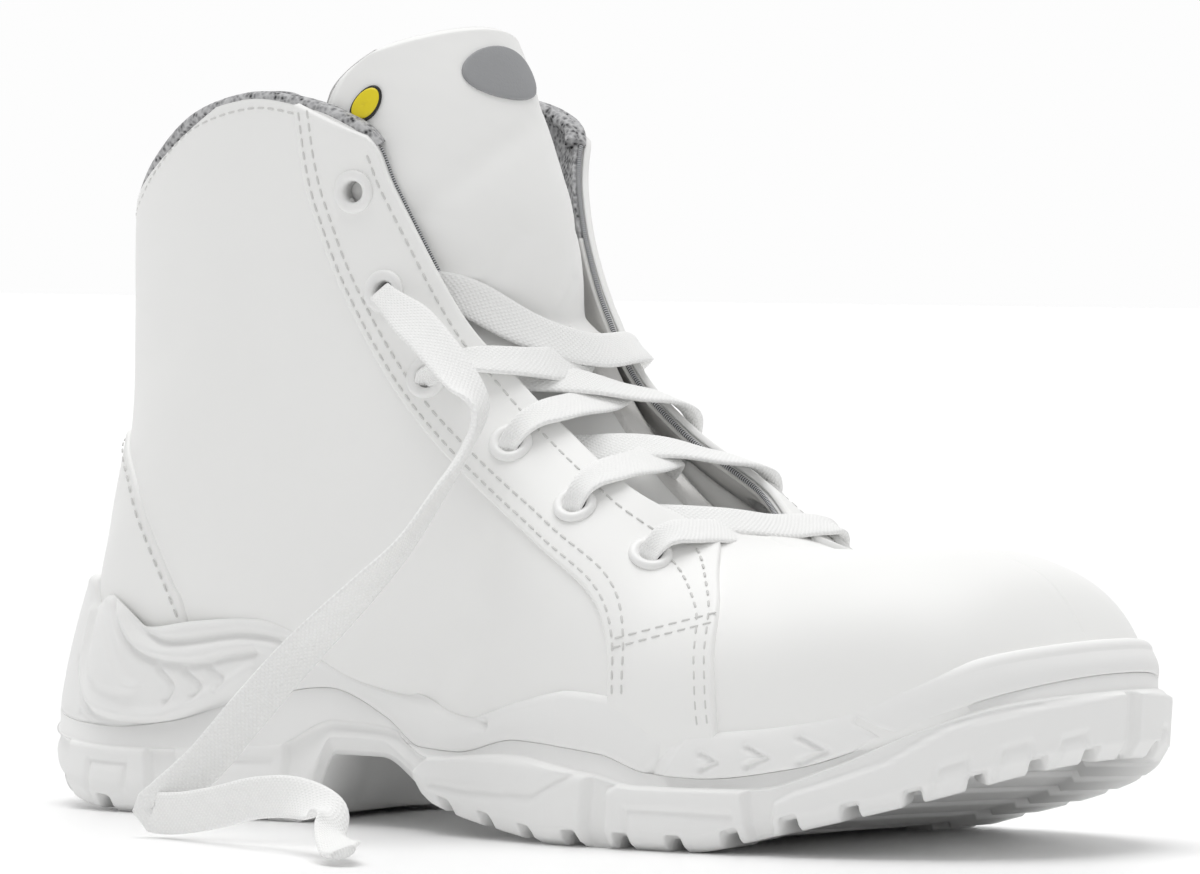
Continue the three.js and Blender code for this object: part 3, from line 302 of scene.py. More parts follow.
def on_upper(points, side):
    """Where side-view points (x, z) lie on the upper: its points and normals. side is -1
    for lateral and 1 for medial."""
    points = np.atleast_2d(points)
    span = SCAN_HIGH - SCAN_LOW
    rows = []
    for chunk in np.array_split(points, max(1, len(points) // 2000)):
        off = chunk[:, None, :] - SCAN_LOW[None]
        cross = span[None, :, 0] * off[..., 1] - span[None, :, 1] * off[..., 0]
        share = (off * span[None]).sum(-1) / (span ** 2).sum(-1)
        near = off - np.clip(share, 0, 1)[..., None] * span[None]
        best = np.clip(np.argmin((near ** 2).sum(-1), axis=1), 1, len(ROW_SCAN) - 2)
        k = np.arange(len(chunk))
        before, here, after = cross[k, best - 1], cross[k, best], cross[k, best + 1]
        forward = here * after <= 0
        other = np.where(forward, after, before)
        part = here / np.where(here == other, 1, here - other)
        step = np.where(forward, 1, -1) * np.where(here * other <= 0, part, 0)
        rows.append(ROW_SCAN[best] + step * (ROW_SCAN[1] - ROW_SCAN[0]))
    row = np.concatenate(rows)
    low, high = side_ends(row)
    up = ((points - low) * (high - low)).sum(1) / ((high - low) ** 2).sum(1)
    widest = section("widest", row)
    above = up > widest
    share = np.clip((up - widest) / np.where(above, 1 - widest, widest), -1, 1)
    power = np.where(above, section("top", row), section("base", row)) / 2
    turn = -side * np.arccos(np.sign(share) * np.abs(share) ** power) / (2 * np.pi)
    return upper_point(row, turn), upper_normal(row, turn)


def outline_y(x, side):
    """The sole's outline on one side at x."""
    x = np.asarray(x, float)
    share = x / LENGTH
    table = LATERAL_SIDE if side < 0 else MEDIAL_SIDE
    toe_x, toe_power = (0.118, 2.35) if side < 0 else (0.22, 2.5)
    toe = np.clip((share - toe_x) / (0.5 - toe_x), 0, 1)
    heel = np.clip((-0.367 - share) / 0.133, 0, 1)
    toe_y = 0.085 + (table[-1][1] - 0.085) * (1 - toe ** toe_power) ** (1 / toe_power)
    heel_y = -0.018 + (table[0][1] + 0.018) * (1 - heel ** 2.15) ** (1 / 2.15)
    return WIDTH * np.where(share > toe_x, toe_y, np.where(share < -0.367, heel_y, by_x(table, x)))


def sole_ring(count):
    """The outline as even points, their outward directions, and the distance s from the
    middle of the heel along each side (side -1 lateral, 1 medial)."""
    xs = -LENGTH / 2 * np.cos(np.linspace(0, np.pi, 1500))
    lateral = resample(np.stack([xs, outline_y(xs, -1)], 1), count)
    medial = resample(np.stack([xs, outline_y(xs, 1)], 1), count)
    ring = np.vstack([lateral[:-1], medial[::-1][:-1]])
    along = unit(np.roll(ring, -1, 0) - np.roll(ring, 1, 0))
    out = np.stack([along[:, 1], -along[:, 0]], 1)
    run = np.linalg.norm(np.diff(lateral, axis=0), axis=1).sum()
    s = np.concatenate([np.linspace(0, run, count)[:-1], np.linspace(run, 0, count)[:-1]])
    side = np.concatenate([-np.ones(count - 1), np.ones(count - 1)])
    return ring, out, s, side


def ride_on_root(piece, material, slot, *nodes):
    """Finishes a piece: its material's name and the CAD nodes it stands for; slot is not used."""
    piece.data.materials.clear()
    piece.data.materials.append(made_of(material))
    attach(piece, "root")
    if nodes:
        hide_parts(*nodes)
    return piece


def new_piece(name, points, faces, uv=None):
    """A smooth mesh object from millimetre points; uv holds one pair per point."""
    mesh = bpy.data.meshes.new(name)
    corners = [list(map(int, f)) for f in faces]
    mesh.from_pydata((np.asarray(points, float) * MM).tolist(), [], corners)
    if uv is not None:
        layer = mesh.uv_layers.new(name="UVMap")
        index = np.empty(len(mesh.loops), int)
        mesh.loops.foreach_get("vertex_index", index)
        layer.data.foreach_set("uv", np.asarray(uv, np.float32)[index].ravel())
    mesh.polygons.foreach_set("use_smooth", [True] * len(mesh.polygons))
    mesh.validate()
    piece = bpy.data.objects.new(name, mesh)
    bpy.context.scene.collection.objects.link(piece)
    return piece


def tidy_mesh(piece, outward=True):
    """Merges doubled points and turns the faces outward."""
    made = bmesh.new()
    made.from_mesh(piece.data)
    bmesh.ops.remove_doubles(made, verts=made.verts, dist=0.00002)
    bmesh.ops.dissolve_degenerate(made, edges=made.edges, dist=0.00001)
    if outward:
        bmesh.ops.recalc_face_normals(made, faces=made.faces)
    made.to_mesh(piece.data)
    made.free()
    return piece


def grid_faces(rows, columns, wrap=False, start=0):
    """Quads of a grid of points, joined round where wrap is set."""
    faces = []
    for first in range(start, start + (rows - 1) * columns, columns):
        for j in range(columns if wrap else columns - 1):
            a, b = first + j, first + (j + 1) % columns
            faces.append((a, b, b + columns, a + columns))
    return faces


def tube_faces(rows, columns, start=0):
    """Faces of a closed tube of rings, with a flat face at each end."""
    first, last = range(start, start + columns), range(start + (rows - 1) * columns, start + rows * columns)
    return grid_faces(rows, columns, True, start) + [tuple(first)[::-1], tuple(last)]


def tube_body(name, rings, uv=None):
    """A closed piece through a grid of rings."""
    if uv is not None:
        uv = uv.reshape(-1, 2)
    return tidy_mesh(new_piece(name, rings.reshape(-1, 3), tube_faces(*rings.shape[:2]), uv))


def plate_faces(quads, total, seam=()):
    """A plate's faces: quads above, the same below (total further on), and walls round
    every edge that only one quad has, but for the edges in seam."""
    edges = {}
    for q in quads:
        for a, b in zip(q, np.roll(q, -1)):
            key = (min(a, b), max(a, b))
            edges[key] = None if key in edges else (a, b)
    outer = [pair for key, pair in edges.items() if pair and key not in seam]
    walls = [(b, a, a + total, b + total) for a, b in outer]
    return [tuple(q) for q in quads] + [tuple(q[::-1] + total) for q in quads] + walls


def runs_across(grid):
    """The distance along each row of a grid of points, from 0."""
    lengths = np.linalg.norm(np.diff(grid, axis=1), axis=2)
    return np.concatenate([np.zeros((len(grid), 1)), np.cumsum(lengths, axis=1)], 1)


def slab(name, base, normals, low, high, uv=None, keep=None):
    """A closed plate on a grid of base points, from low to high along the normals, with
    its top edges rounded. low and high may be arrays over the grid."""
    rows, columns = base.shape[:2]
    down = np.concatenate([[0], np.cumsum(np.linalg.norm(np.diff(base, axis=0), axis=2).mean(1))])
    across = runs_across(base)
    edge = np.minimum(np.minimum(across, across[:, -1:] - across),
                      np.minimum(down, down[-1] - down)[:, None])
    t = np.clip(edge / SLAB_ROUNDING, 0, 1)
    top = low + (high - low) * (0.25 + 0.75 * np.sqrt(1 - (1 - t) ** 2))
    upper_side = base + normals * top[..., None]
    lower_side = base + normals * (np.zeros((rows, columns)) + low)[..., None]
    points = np.vstack([upper_side.reshape(-1, 3), lower_side.reshape(-1, 3)])
    quads = np.array(grid_faces(rows, columns))
    if keep is not None:
        quads = quads[keep(base.reshape(-1, 3)[quads].mean(1))]
    faces = plate_faces(quads, rows * columns)
    if uv is None:
        uv = np.stack([across, np.zeros((rows, columns)) + down[:, None]], -1) * 0.1
    return tidy_mesh(new_piece(name, points, faces, np.vstack([uv.reshape(-1, 2)] * 2)))


def lace_band(name, route, wides, pinch, curl):
    """A length of the flat lace along a route of points. wides are its wide directions;
    pinch holds a share of the width at each point, and curl how far its edges fold down."""
    along = unit(np.gradient(route, axis=0))
    wides = unit(wides - along * (wides * along).sum(1)[:, None])
    thick = np.cross(along, wides)
    a, b = (np.sign(part) * np.abs(part) ** 0.7 for part in (np.cos(circle(20)), np.sin(circle(20))))
    half = LACE_WIDTH / 2 * pinch
    high = (LACE_THICKNESS / 2 / np.sqrt(pinch))[:, None] * b[None] - curl[:, None] * np.abs(a[None]) ** 2
    points = (route[:, None] + wides[:, None] * (half[:, None] * a[None])[..., None]
              + thick[:, None] * high[..., None])
    rows, columns = points.shape[:2]
    flat = np.zeros((rows, columns))
    uv = np.stack([flat + a[None] * LACE_WIDTH / 2, flat + run_of(route)[:, None]], -1)
    return tube_body(name, points, uv)


# The line of collar and throat, as z over x. Everything above it is open.
OPENING = side_line(COLLAR_LINE + THROAT_LINE, 240)


def is_open(points):
    """True where a point of the upper lies in the opening of collar and throat."""
    line = np.interp(points[..., 0], OPENING[:, 0], OPENING[:, 1])
    return (points[..., 2] > line) & (points[..., 0] < THROAT_FRONT)


def opening_turn(rows, side):
    """For each row, the turn at which the upper's surface starts on that side."""
    turns = np.linspace(0, 0.5, 500)
    open_there = is_open(upper_point(rows[:, None], -side * turns[None]))
    last = len(turns) - 1 - np.argmax(open_there[:, ::-1], axis=1)
    last = np.where(open_there.any(1), last, -1)
    low = np.where(last < 0, 0, turns[np.clip(last, 0, 499)])
    high = np.where(last < 0, 0, turns[np.clip(last + 1, 0, 499)])
    for _ in range(12):
        middle = (low + high) / 2
        inside = is_open(upper_point(rows, -side * middle)) & (last >= 0)
        low, high = np.where(inside, middle, low), np.where(inside, high, middle)
    return high


def upper_rows(count):
    """Section rows from the toe's tip to the collar's back, closer towards the back. One
    starts where the throat does."""
    rows = np.linspace(0.02, 17.6, 900)
    path = upper_point(rows, 0.2)
    run = run_of(path)
    near = np.linspace(6, 8, 2000)
    first = np.interp(near[np.argmax(section("highX", near) * LENGTH < THROAT_FRONT)], rows, run)
    front = np.linspace(0, first, int(count * 0.3))
    share = np.linspace(0, 1, count - len(front) + 1)[1:]
    rest = first + (run[-1] - first) * (0.35 * share + 0.65 * np.sin(np.pi / 2 * share))
    return np.interp(np.concatenate([front, rest]), run, rows)


# Creases and hollows of the upper seen from the side, in millimetres: start, end, how
# wide, how deep (positive is a hollow), on both sides.
CREASES = [
    ((6, 48), (-14, 27), 9, 1.5), ((-16, 54), (-38, 34), 14, -0.7),
    ((-92, 112), (-48, 104), 10, 0.45), ((-104, 96), (-62, 86), 12, -0.4),
    ((62, 66), (84, 56), 10, 0.3), ((-70, 132), (-58, 92), 12, 0.35),
]


def line_distance(s, z, line):
    """Distance in millimetres from points to a polyline over (s, z)."""
    best = np.full(np.shape(s), 1e9)
    for (ax, az), (bx, bz) in zip(line, line[1:]):
        length = (bx - ax) ** 2 + (bz - az) ** 2
        t = np.clip(((s - ax) * (bx - ax) + (z - az) * (bz - az)) / length, 0, 1)
        best = np.minimum(best, np.hypot(s - ax - t * (bx - ax), z - az - t * (bz - az)))
    return best


def soft_lines(s, z, lines):
    """The sum of soft ridges, or grooves below 0: each a polyline, a width and a height."""
    return sum(high * np.exp(-(line_distance(s, z, line) / wide) ** 2) for line, wide, high in lines)


def crease_depth(x, z):
    """How far the surface is pushed in at side-view points."""
    return soft_lines(x, z, [(ends, wide / 1.6, deep) for *ends, wide, deep in CREASES])


def soft_waves(points, size, seed):
    """Slow, seeded unevenness, from -1 to 1, over millimetre points."""
    rng = np.random.default_rng(seed)
    total = np.zeros(points.shape[:-1])
    for _ in range(7):
        direction = unit(rng.normal(size=3)) * rng.uniform(0.6, 1.5) * 2 * np.pi / size
        total += np.sin(points @ direction + rng.uniform(0, 6.28))
    return total / 7


def upper_surface(rows, around):
    """Grids of the upper on both sides from the opening's edge to the low point:
    points, normals and the distance from the edge."""
    sides = []
    for side in (-1, 1):
        start = opening_turn(rows, side)
        share = np.linspace(0, 1, 420) ** 1.15
        turn = start[:, None] + (0.5 - start[:, None]) * share[None]
        dense = upper_point(rows[:, None], -side * turn)
        dense_run = runs_across(dense)
        spread = np.concatenate([np.linspace(0, 0.05, 9)[:-1], np.linspace(0.05, 1, around - 8)])
        run = spread[None] * dense_run[:, -1:]
        turns = np.stack([np.interp(*each) for each in zip(run, dense_run, turn)])
        points = upper_point(rows[:, None], -side * turns)
        normals = upper_normal(np.broadcast_to(rows[:, None], turns.shape), -side * turns)
        sides.append((points, normals, run, start > 0))
    return sides


def surface_depth(points, away=None):
    """How far creases and slow unevenness push points in, fading near an edge where
    away, the distance from it, is given."""
    crease, wave = crease_depth(points[..., 0], points[..., 2]), 0.22 * soft_waves(points, 38, 3)
    if away is None:
        return crease - wave
    return crease * smooth(away, 2, 12) - wave * smooth(away, 2, 14)


def eyelet_spots():
    """Centres and directions of the eyelets: lateral 1 to 6, then medial 1 to 6."""
    points = np.array(EYELETS) * (LENGTH, COLLAR_HEIGHT)
    return [on_upper(points, side) for side in (-1, 1)]


def shell_piece(name, sides, low, high, keep, edge_fold=0.0):
    """A shell over both sides of the upper between two offsets from its surface."""
    made = []
    for points, normals, run, opened in sides:
        away = np.where(opened[:, None], run, 99)
        fold = edge_fold * (1 - np.sqrt(1 - (1 - np.clip(away / 1.6, 0, 1)) ** 2))
        depth = surface_depth(points, away)
        made.append((points + normals * (high - depth - fold)[..., None],
                     points + normals * (low - depth)[..., None], points))
    top, bottom, bare = (np.concatenate([lateral, medial[:, ::-1][:, 1:]], 1)
                         for lateral, medial in zip(*made))
    rows, wide = bare.shape[:2]
    total = rows * wide
    quads = np.array(grid_faces(rows, wide))
    quads = quads[keep(bare.reshape(-1, 3)[quads].mean(1))]
    faces = plate_faces(quads, total, {(i * wide, i * wide + wide - 1) for i in range(rows)})
    used = np.unique(np.array([v for f in faces for v in f]))
    remap = np.zeros(2 * total, int)
    remap[used] = np.arange(len(used))
    points = np.vstack([top.reshape(-1, 3), bottom.reshape(-1, 3)])[used]
    return tidy_mesh(new_piece(name, points, [tuple(remap[list(f)]) for f in faces]), outward=False)


def above_footbed(points):
    return points[:, 2] > by_x(FOOTBED, points[:, 0]) * FOOTBED_HEIGHT + 0.5


def clear_of_eyelets(points, radius):
    """True for points that aren't in an eyelet's hole."""
    centres = np.vstack([centres for centres, _ in eyelet_spots()])
    return np.all([np.linalg.norm(points - centre, axis=1) > radius for centre in centres], axis=0)


def eyestay_grid(side, steps=150, columns=44):
    """Base points and normals of one eyestay between its throat and rear edges."""
    collar = OPENING[OPENING[:, 0] > EYESTAY_REAR[0][0] * LENGTH + 0.6]
    throat = collar[collar[:, 0] > -33]
    front = side_line(EYESTAY_FRONT, 60)[::-1]
    rear = side_line(EYESTAY_REAR, 200)
    top = np.interp(rear[:, 0], OPENING[:, 0], OPENING[:, 1])
    rear = np.vstack([[collar[0]], rear[rear[:, 1] < top]])
    bend = int(steps * 0.66)
    split = np.argmin(np.hypot(rear[:, 0] - EYESTAY_BEND[0], rear[:, 1] - EYESTAY_BEND[1]))
    inner, outer = (np.vstack([resample(above, bend)[:-1], resample(below, steps - bend + 1)])
                    for above, below in ((throat, np.vstack([throat[-1:], front])),
                                         (rear[:split + 1], rear[split:])))
    edge = np.array([0, 0.12, 0.3, 0.55, 0.9]) / 20
    share = np.concatenate([edge, np.linspace(0.06, 0.94, columns - 10), 1 - edge[::-1]])
    flat = inner[:, None] + (outer - inner)[:, None] * share[None, :, None]
    points, normals = on_upper(flat.reshape(-1, 2), side)
    return points.reshape(steps, columns, 3), normals.reshape(steps, columns, 3)


def counter_grid(steps=110, columns=36):
    """Base points and normals of the heel counter, from lateral edge round to medial."""
    edge = resample(side_line(COUNTER_EDGE, 120), steps)
    low = np.interp(edge[:, 1], SCAN_LOW[:, 1][ROW_SCAN > 12.6], SCAN_LOW[:, 0][ROW_SCAN > 12.6])
    share = np.linspace(0, 1, columns) ** 1.3
    x = low[:, None] + (np.maximum(edge[:, 0], low + 0.01) - low)[:, None] * share
    flat = np.stack([x, edge[:, 1:] + 0 * x], -1).reshape(-1, 2)
    halves = [[grid.reshape(steps, columns, 3) for grid in on_upper(flat, side)] for side in (-1, 1)]
    return [np.concatenate([lateral[:, ::-1], medial[:, 1:]], 1) for lateral, medial in zip(*halves)]


def beside(line, off):
    """A side-view line moved sideways by off millimetres."""
    along = unit(np.gradient(line, axis=0))
    return line + np.stack([along[:, 1], -along[:, 0]], 1) * off


def stitch_lines():
    """Rows of stitches as (side-view line, side, height over the surface)."""
    rear = side_line(EYESTAY_REAR[1:], 200)
    front = side_line(EYESTAY_FRONT[1:], 80)
    throat = OPENING[(OPENING[:, 0] > -31) & (OPENING[:, 0] < 49)]
    collar = OPENING[OPENING[:, 0] < -34]
    counter = side_line(COUNTER_EDGE[1:-1], 120)
    lines = []
    over_overlays = [beside(line, off) for line in (rear, front) for off in (-1.8, -4.4)]
    over_overlays += [beside(throat, 2.6), *map(np.array, CROSS_SEAMS), beside(counter, 1.8)]
    for side in (-1, 1):
        lines += [(line, side, STITCH_LIFT) for line in over_overlays] + [(beside(collar, 2.6), side, 0)]
    return lines


def stitches_piece(name):
    """All the rows of stitches as one piece of small capsules."""
    stations = [(-0.5, 0.35), (-0.36, 0.95), (0.36, 0.95), (0.5, 0.35)]
    points, faces = [], []
    for line, side, lift in stitch_lines():
        count = max(2, int(run_of(line)[-1] / STITCH_PITCH))
        flat = resample(line, 2 * count + 1)
        spots, normals = on_upper(flat, side)
        for i in range(count):
            centre = spots[2 * i + 1] + normals[2 * i + 1] * lift
            if centre[2] < rim_at(centre[0]) + 1:
                continue
            along = unit(spots[2 * i + 2] - spots[2 * i])
            across = np.cross(normals[2 * i + 1], along)
            start = len(points)
            for share, fat in stations:
                for angle in circle(6):
                    points.append(centre + along * STITCH_LENGTH * share + STITCH_RADIUS * fat * (
                        across * math.cos(angle) + normals[2 * i + 1] * math.sin(angle) * 0.8))
            faces += tube_faces(len(stations), 6, start)
    return tidy_mesh(new_piece(name, points, faces))


# Relief of the sole's side over (s, z): s runs from the heel's middle along the side, z is
# the height, both in millimetres. Lines have a width and a height, pads a height and how
# soft their edge is.
LATERAL_RUN, SOLE_COUNT = 354.6, 800
HEEL_GROOVES = [
    ([(62, 54), (64, 47.5), (69, 43), (76, 40.2), (84, 40.2), (103, 42.4), (121, 40.4), (136, 35.5),
      (153, 31.5), (169, 28.4), (184, 25.6)], 1.1, -1.9),
    ([(56, 54), (60, 46.5), (63.5, 41.4), (69, 37.4), (77, 35.6), (88, 35.2), (99, 37.4), (107, 38.6)], 1.0, -1.6),
    ([(44, 34), (50, 25), (58, 21.6), (72, 20.4), (84, 22), (97, 27), (110, 31.5)], 0.9, -1.0),
    ([(49, 22.4), (57, 19.8), (74, 18.6), (84, 20.4), (97, 25.6), (108, 29.8)], 0.7, -0.6),
    ([(77, 34), (81.5, 30), (79, 26.4)], 0.8, -1.0), ([(85, 33.8), (90, 30.4), (87.5, 27.6)], 0.8, -1.0),
    ([(93, 34.6), (97.5, 32), (95.5, 30)], 0.8, -0.9),
]
HEEL_RIDGES = [
    ([(58, 56), (61, 50), (63.5, 45), (68, 40.4), (76, 37.8), (88, 37.6), (102, 40.2), (112, 40.6)], 1.9, 1.0),
    ([(45, 46), (46.5, 34), (51, 27.4), (60, 24), (73, 22.8), (84, 24.8), (95, 29.4), (106, 35)], 1.6, 1.2),
    ([(66, 52), (74, 49), (80, 44.4)], 3.4, 1.3),
    ([(86, 46), (103, 46.8), (121, 44.6), (136, 39.4), (153, 35), (169, 31.6), (184, 28.8)], 2.6, 1.3),
]
PADS = [
    ([(50, 50), (56, 47), (66, 33), (72, 29.8), (67, 26.8), (55, 28.4), (49.4, 34)], 1.2, 2.0),
]
LOWER_PADS = [
    ([(46, 17.4), (58, 16.4), (74, 15.6), (77, 0), (46, 0)], 2.0, 1.4),
    ([(81, 16.8), (116, 19), (118, 0), (85, 0)], 1.7, 1.4),
    ([(160, 15), (166, 18.4), (190, 19.4), (216, 18.6), (221, 16), (219, 0), (160, 0)], 2.5, 1.6),
    ([(225, 13), (230, 15.4), (262, 14.8), (263, 0), (224, 0)], 2.2, 1.3),
    ([(268, 12), (273, 14.6), (281, 17), (294, 21.5), (308, 29.5), (330, 34), (353, 36.5), (353, 0),
      (266, 0)], 2.0, 1.3),
]
LOWER_GROOVES = [
    ([(168, 11.4), (180, 10.4), (204, 10.8), (212, 14.4), (219, 17)], 0.9, -0.9),
    ([(56, 3), (56, 11.6), (68, 11.2), (68, 6)], 0.8, -0.8), ([(86, 12), (100, 13), (112, 13.4)], 0.8, -0.7),
    ([(231, 4), (231, 9), (258, 8.6)], 0.8, -0.7), ([(284, 6), (286, 11), (296, 12.5), (297, 8)], 0.8, -0.7),
    ([(304, 14), (306, 20), (312, 22), (312, 16)], 0.8, -0.7),
    ([(318, 18), (320, 24), (326, 25.4), (327, 19)], 0.8, -0.7),
    ([(332, 20), (334, 26), (340, 27), (341, 21)], 0.8, -0.7),
]
# How far the outsole's top edge is tucked in under the midsole's wall.
TUCKED = [(-0.5, 0.6), (-0.36, 0.6), (-0.28, 0.85), (-0.2, 1), (-0.09, 1), (-0.035, 0.35),
          (0.04, 0.15), (0.2, 0.05), (0.5, 0)]
# Chevrons at the toe's side: middle over (s, z) and size.
CHEVRONS = [(252, 20.2, 1.7), (264, 21.6, 2.1), (277.5, 23.4, 2.7), (292, 26.6, 3.3)]


def inside_distance(s, z, corners):
    """Distance to a polygon's edge, positive inside."""
    closed = list(corners) + [corners[0]]
    away = line_distance(s, z, closed)
    inside = np.zeros(np.shape(s), bool)
    for (ax, az), (bx, bz) in zip(closed, closed[1:]):
        crosses = ((az > z) != (bz > z)) & (s < (bx - ax) * (z - az) / ((bz - az) or 1e-9) + ax)
        inside ^= crosses
    return np.where(inside, away, -away)


def midsole_relief(s, z):
    """Outward relief of the midsole's wall."""
    lines = [(smooth_line(line), wide, high) for line, wide, high in HEEL_GROOVES + HEEL_RIDGES]
    lines.append(([(243, 27), (235, 16)], 0.9, -0.9))
    lines += [([(at - size * 1.3, up + size), (at + size, up), (at - size * 1.3, up - size)], 0.8, -1.4)
              for at, up, size in CHEVRONS]
    out = soft_lines(s, z, lines)
    for corners, high, soft in PADS:
        away = inside_distance(s, z, smooth_line(corners + corners[:1], 60)[:-1])
        out += high * smooth(away, -0.2, soft * 1.6)
    start = (z - 16) * 0.7
    raised_toe = smooth(s, 238 + start, 240 + start) * (1 - smooth(s, 300, 330)) * smooth(z, 14, 18)
    return out + 0.7 * raised_toe


def outsole_relief(s, z):
    """Outward relief of the outsole's wall: raised pads with an inner recess."""
    out = np.full(np.shape(s), -1.2)
    for corners, high, soft in LOWER_PADS:
        out += high * smooth(inside_distance(s, z, corners), -0.3, soft)
    return out + soft_lines(s, z, LOWER_GROOVES)


def tread_notch(s):
    """How far the tread's edge is cut up between its lugs, in millimetres."""
    phase = np.mod(s - 158, LUG_PITCH)
    fore = (s > 165) * smooth(np.abs(phase - 7.1), 4.6, 5.6)
    heel_phase = np.mod(s - 30, HEEL_LUG_PITCH)
    heel = (s < 112) * (s > 20) * smooth(np.abs(heel_phase - 7.7), 5.2, 6.2)
    return NOTCH_DEPTH * np.maximum(fore, heel)


def sole_wall(levels, relief, notch=False):
    """Rings of one sole layer. levels gives rows of (inset, height function, share of the
    lean, share of the relief)."""
    ring, out, s, side = sole_ring(SOLE_COUNT)
    scaled = np.where(side < 0, s, s / s[side > 0].max() * LATERAL_RUN)
    x = ring[:, 0]
    lean, tucked = by_x(LEAN, x) * RIM_LEAN, by_x(TUCKED, x)
    rows = []
    for inset, level, leaning, share in levels:
        z = level(x)
        bulge = relief(scaled, z) * share if share else 0
        if notch:
            z = z + tread_notch(scaled) * (1 - smooth(z - ground_at(x), 1.0, 4.2))
            inset = np.maximum(inset, tucked * LEDGE_DEPTH * smooth(z, ground_at(x) + 2, ledge_at(x)))
        depth = inset + leaning * lean - bulge
        rows.append(np.column_stack([ring - out * depth[:, None], z]))
    return np.array(rows)


def between(low, high, share):
    """A height function part of the way from one to another."""
    return lambda x: low(x) + (high(x) - low(x)) * share


def raised(level, rise):
    """A height function moved up by rise millimetres."""
    return lambda x: level(x) + rise


def close_rings(name, rings):
    """A closed mesh through rings of equal length, its two ends filled across."""
    rows, columns = rings.shape[:2]
    faces = grid_faces(rows, columns, wrap=True)
    half = columns // 2

    def cap(start, flip):
        made = []
        for i in range(half):
            a, b = start + i, start + i + 1
            c, d = start + (columns - i) % columns, start + (columns - i - 1) % columns
            quad = [v for k, v in enumerate((a, c, d, b)) if v not in (a, c, d, b)[:k]]
            if len(quad) > 2:
                made.append(tuple(quad[::-1] if flip else quad))
        return made

    faces += cap(0, False) + cap((rows - 1) * columns, True)
    return tidy_mesh(new_piece(name, rings.reshape(-1, 3), faces))


def midsole_piece():
    """The cup of the sole, from the parting line to its rolled rim and the shoe's inside."""
    low, high = raised(parting_at, 0.08), raised(rim_at, -RIM_ROLL)
    levels = [(4.2, raised(parting_at, 0.2), 0, 0), (LEDGE_DEPTH + 0.7, raised(parting_at, 0.05), 0, 0)]
    for share in np.linspace(0, 1, 45):
        inset = LEDGE_DEPTH + 0.25 * (1 - min(share * 12, 1)) - 0.6 * math.sin(math.pi * share)
        levels.append((inset, between(low, high, share), share, 1))
    for share in np.linspace(0, 1, 7)[1:]:
        angle = math.pi / 2 * share
        levels.append((LEDGE_DEPTH + RIM_ROLL * (1 - math.cos(angle)),
                       raised(rim_at, RIM_ROLL * (math.sin(angle) - 1)), 1, 1 - share))
    levels += [(LEDGE_DEPTH + 4.4, raised(rim_at, -1.4), 1, 0), (LEDGE_DEPTH + 6.4, raised(rim_at, -8), 1, 0)]
    return close_rings("midsole_cup", sole_wall(levels, midsole_relief))


def outsole_piece():
    """The lugged outsole under the parting line."""
    def lower(x):
        return np.minimum(ground_at(x) + 4, ledge_at(x) - 1.5)

    def ledge_edge(rise, gap):
        return lambda x: np.minimum(ledge_at(x) + rise, parting_at(x) - gap)

    levels = [(24, raised(ground_at, 1.4), 0, 0), (19, raised(ground_at, 1.4), 0, 0),
              (18.4, raised(ground_at, 0.1), 0, 0), (4, ground_at, 0, 0),
              (3.2, raised(ground_at, 0.05), 0, 0.2)]
    levels += [(3.2 - 2.5 * i / 6, between(ground_at, lower, i / 6), 0, 1) for i in range(1, 7)]
    levels += [(0.7 * (1 - i / 14), between(lower, ledge_at, i / 14), 0, 1) for i in range(1, 15)]
    for i in range(1, 6):
        angle = math.pi / 2 * i / 5
        levels.append((LEDGE_DEPTH * 0.9 * (1 - math.cos(angle)),
                       ledge_edge(0.9 * math.sin(angle), 0.6), 0, 1 - i / 5))
    levels += [(LEDGE_DEPTH + 0.1, ledge_edge(1.3, 0.4), 0, 0),
               (LEDGE_DEPTH + 0.1, raised(parting_at, -0.22), 0, 0),
               (LEDGE_DEPTH + 0.4, raised(parting_at, -0.02), 0, 0), (4.4, raised(parting_at, 0.1), 0, 0)]
    return close_rings("outsole_lugged", sole_wall(levels, outsole_relief, notch=True))


def tongue_point(position, across, depth):
    """A point of the tongue in millimetres, as in the part: depth 0 front, 1 back."""
    position, across, depth = np.broadcast_arrays(*(np.asarray(v, float)
                                                    for v in (position, across, depth)))
    last = len(TONGUE) - 1
    ahead = np.minimum(position + 0.05, last)
    behind = np.maximum(ahead - 0.1, 0)
    dx = LENGTH * (tongue_at("x", ahead) - tongue_at("x", behind))
    dz = COLLAR_HEIGHT * (tongue_at("z", ahead) - tongue_at("z", behind))
    size = np.hypot(dx, dz)
    radius = TONGUE_RADIUS * tongue_at("radius", position)
    angle = np.radians(tongue_at("arc", position)) * across
    thin = np.sqrt(np.maximum(1 - np.abs(across) ** 4, 0))
    pad = TONGUE_PAD * tongue_at("pad", position) * (0.25 + 0.75 * thin)
    reach = radius - depth * pad
    back = reach * np.cos(angle) - radius
    return np.stack([LENGTH * tongue_at("x", position) + dz / size * back,
                     reach * np.sin(angle) + TONGUE_MIDDLE - TONGUE_LEAN * smooth(position, 3, 8),
                     COLLAR_HEIGHT * tongue_at("z", position) - dx / size * back], -1)


# How far the lower tongue is pushed up by the foot's side towards the laces, in millimetres.
LOWER_RISE = 6.5

# Soft creases over the padded tongue as (row, across) to (row, across), width and depth.
TONGUE_CREASES = [
    ((5.3, -0.7), (6.6, -0.2), 3, 0.7), ((5.6, 0.1), (6.9, 0.5), 3, 0.5),
    ((7.2, -0.6), (8.2, 0.1), 4, 0.45), ((5.0, 0.0), (5.8, 0.25), 2.4, 0.6),
    ((6.2, -0.9), (7.4, -0.6), 3, 0.5), ((8.4, 0.2), (9.4, 0.7), 4, 0.4),
]
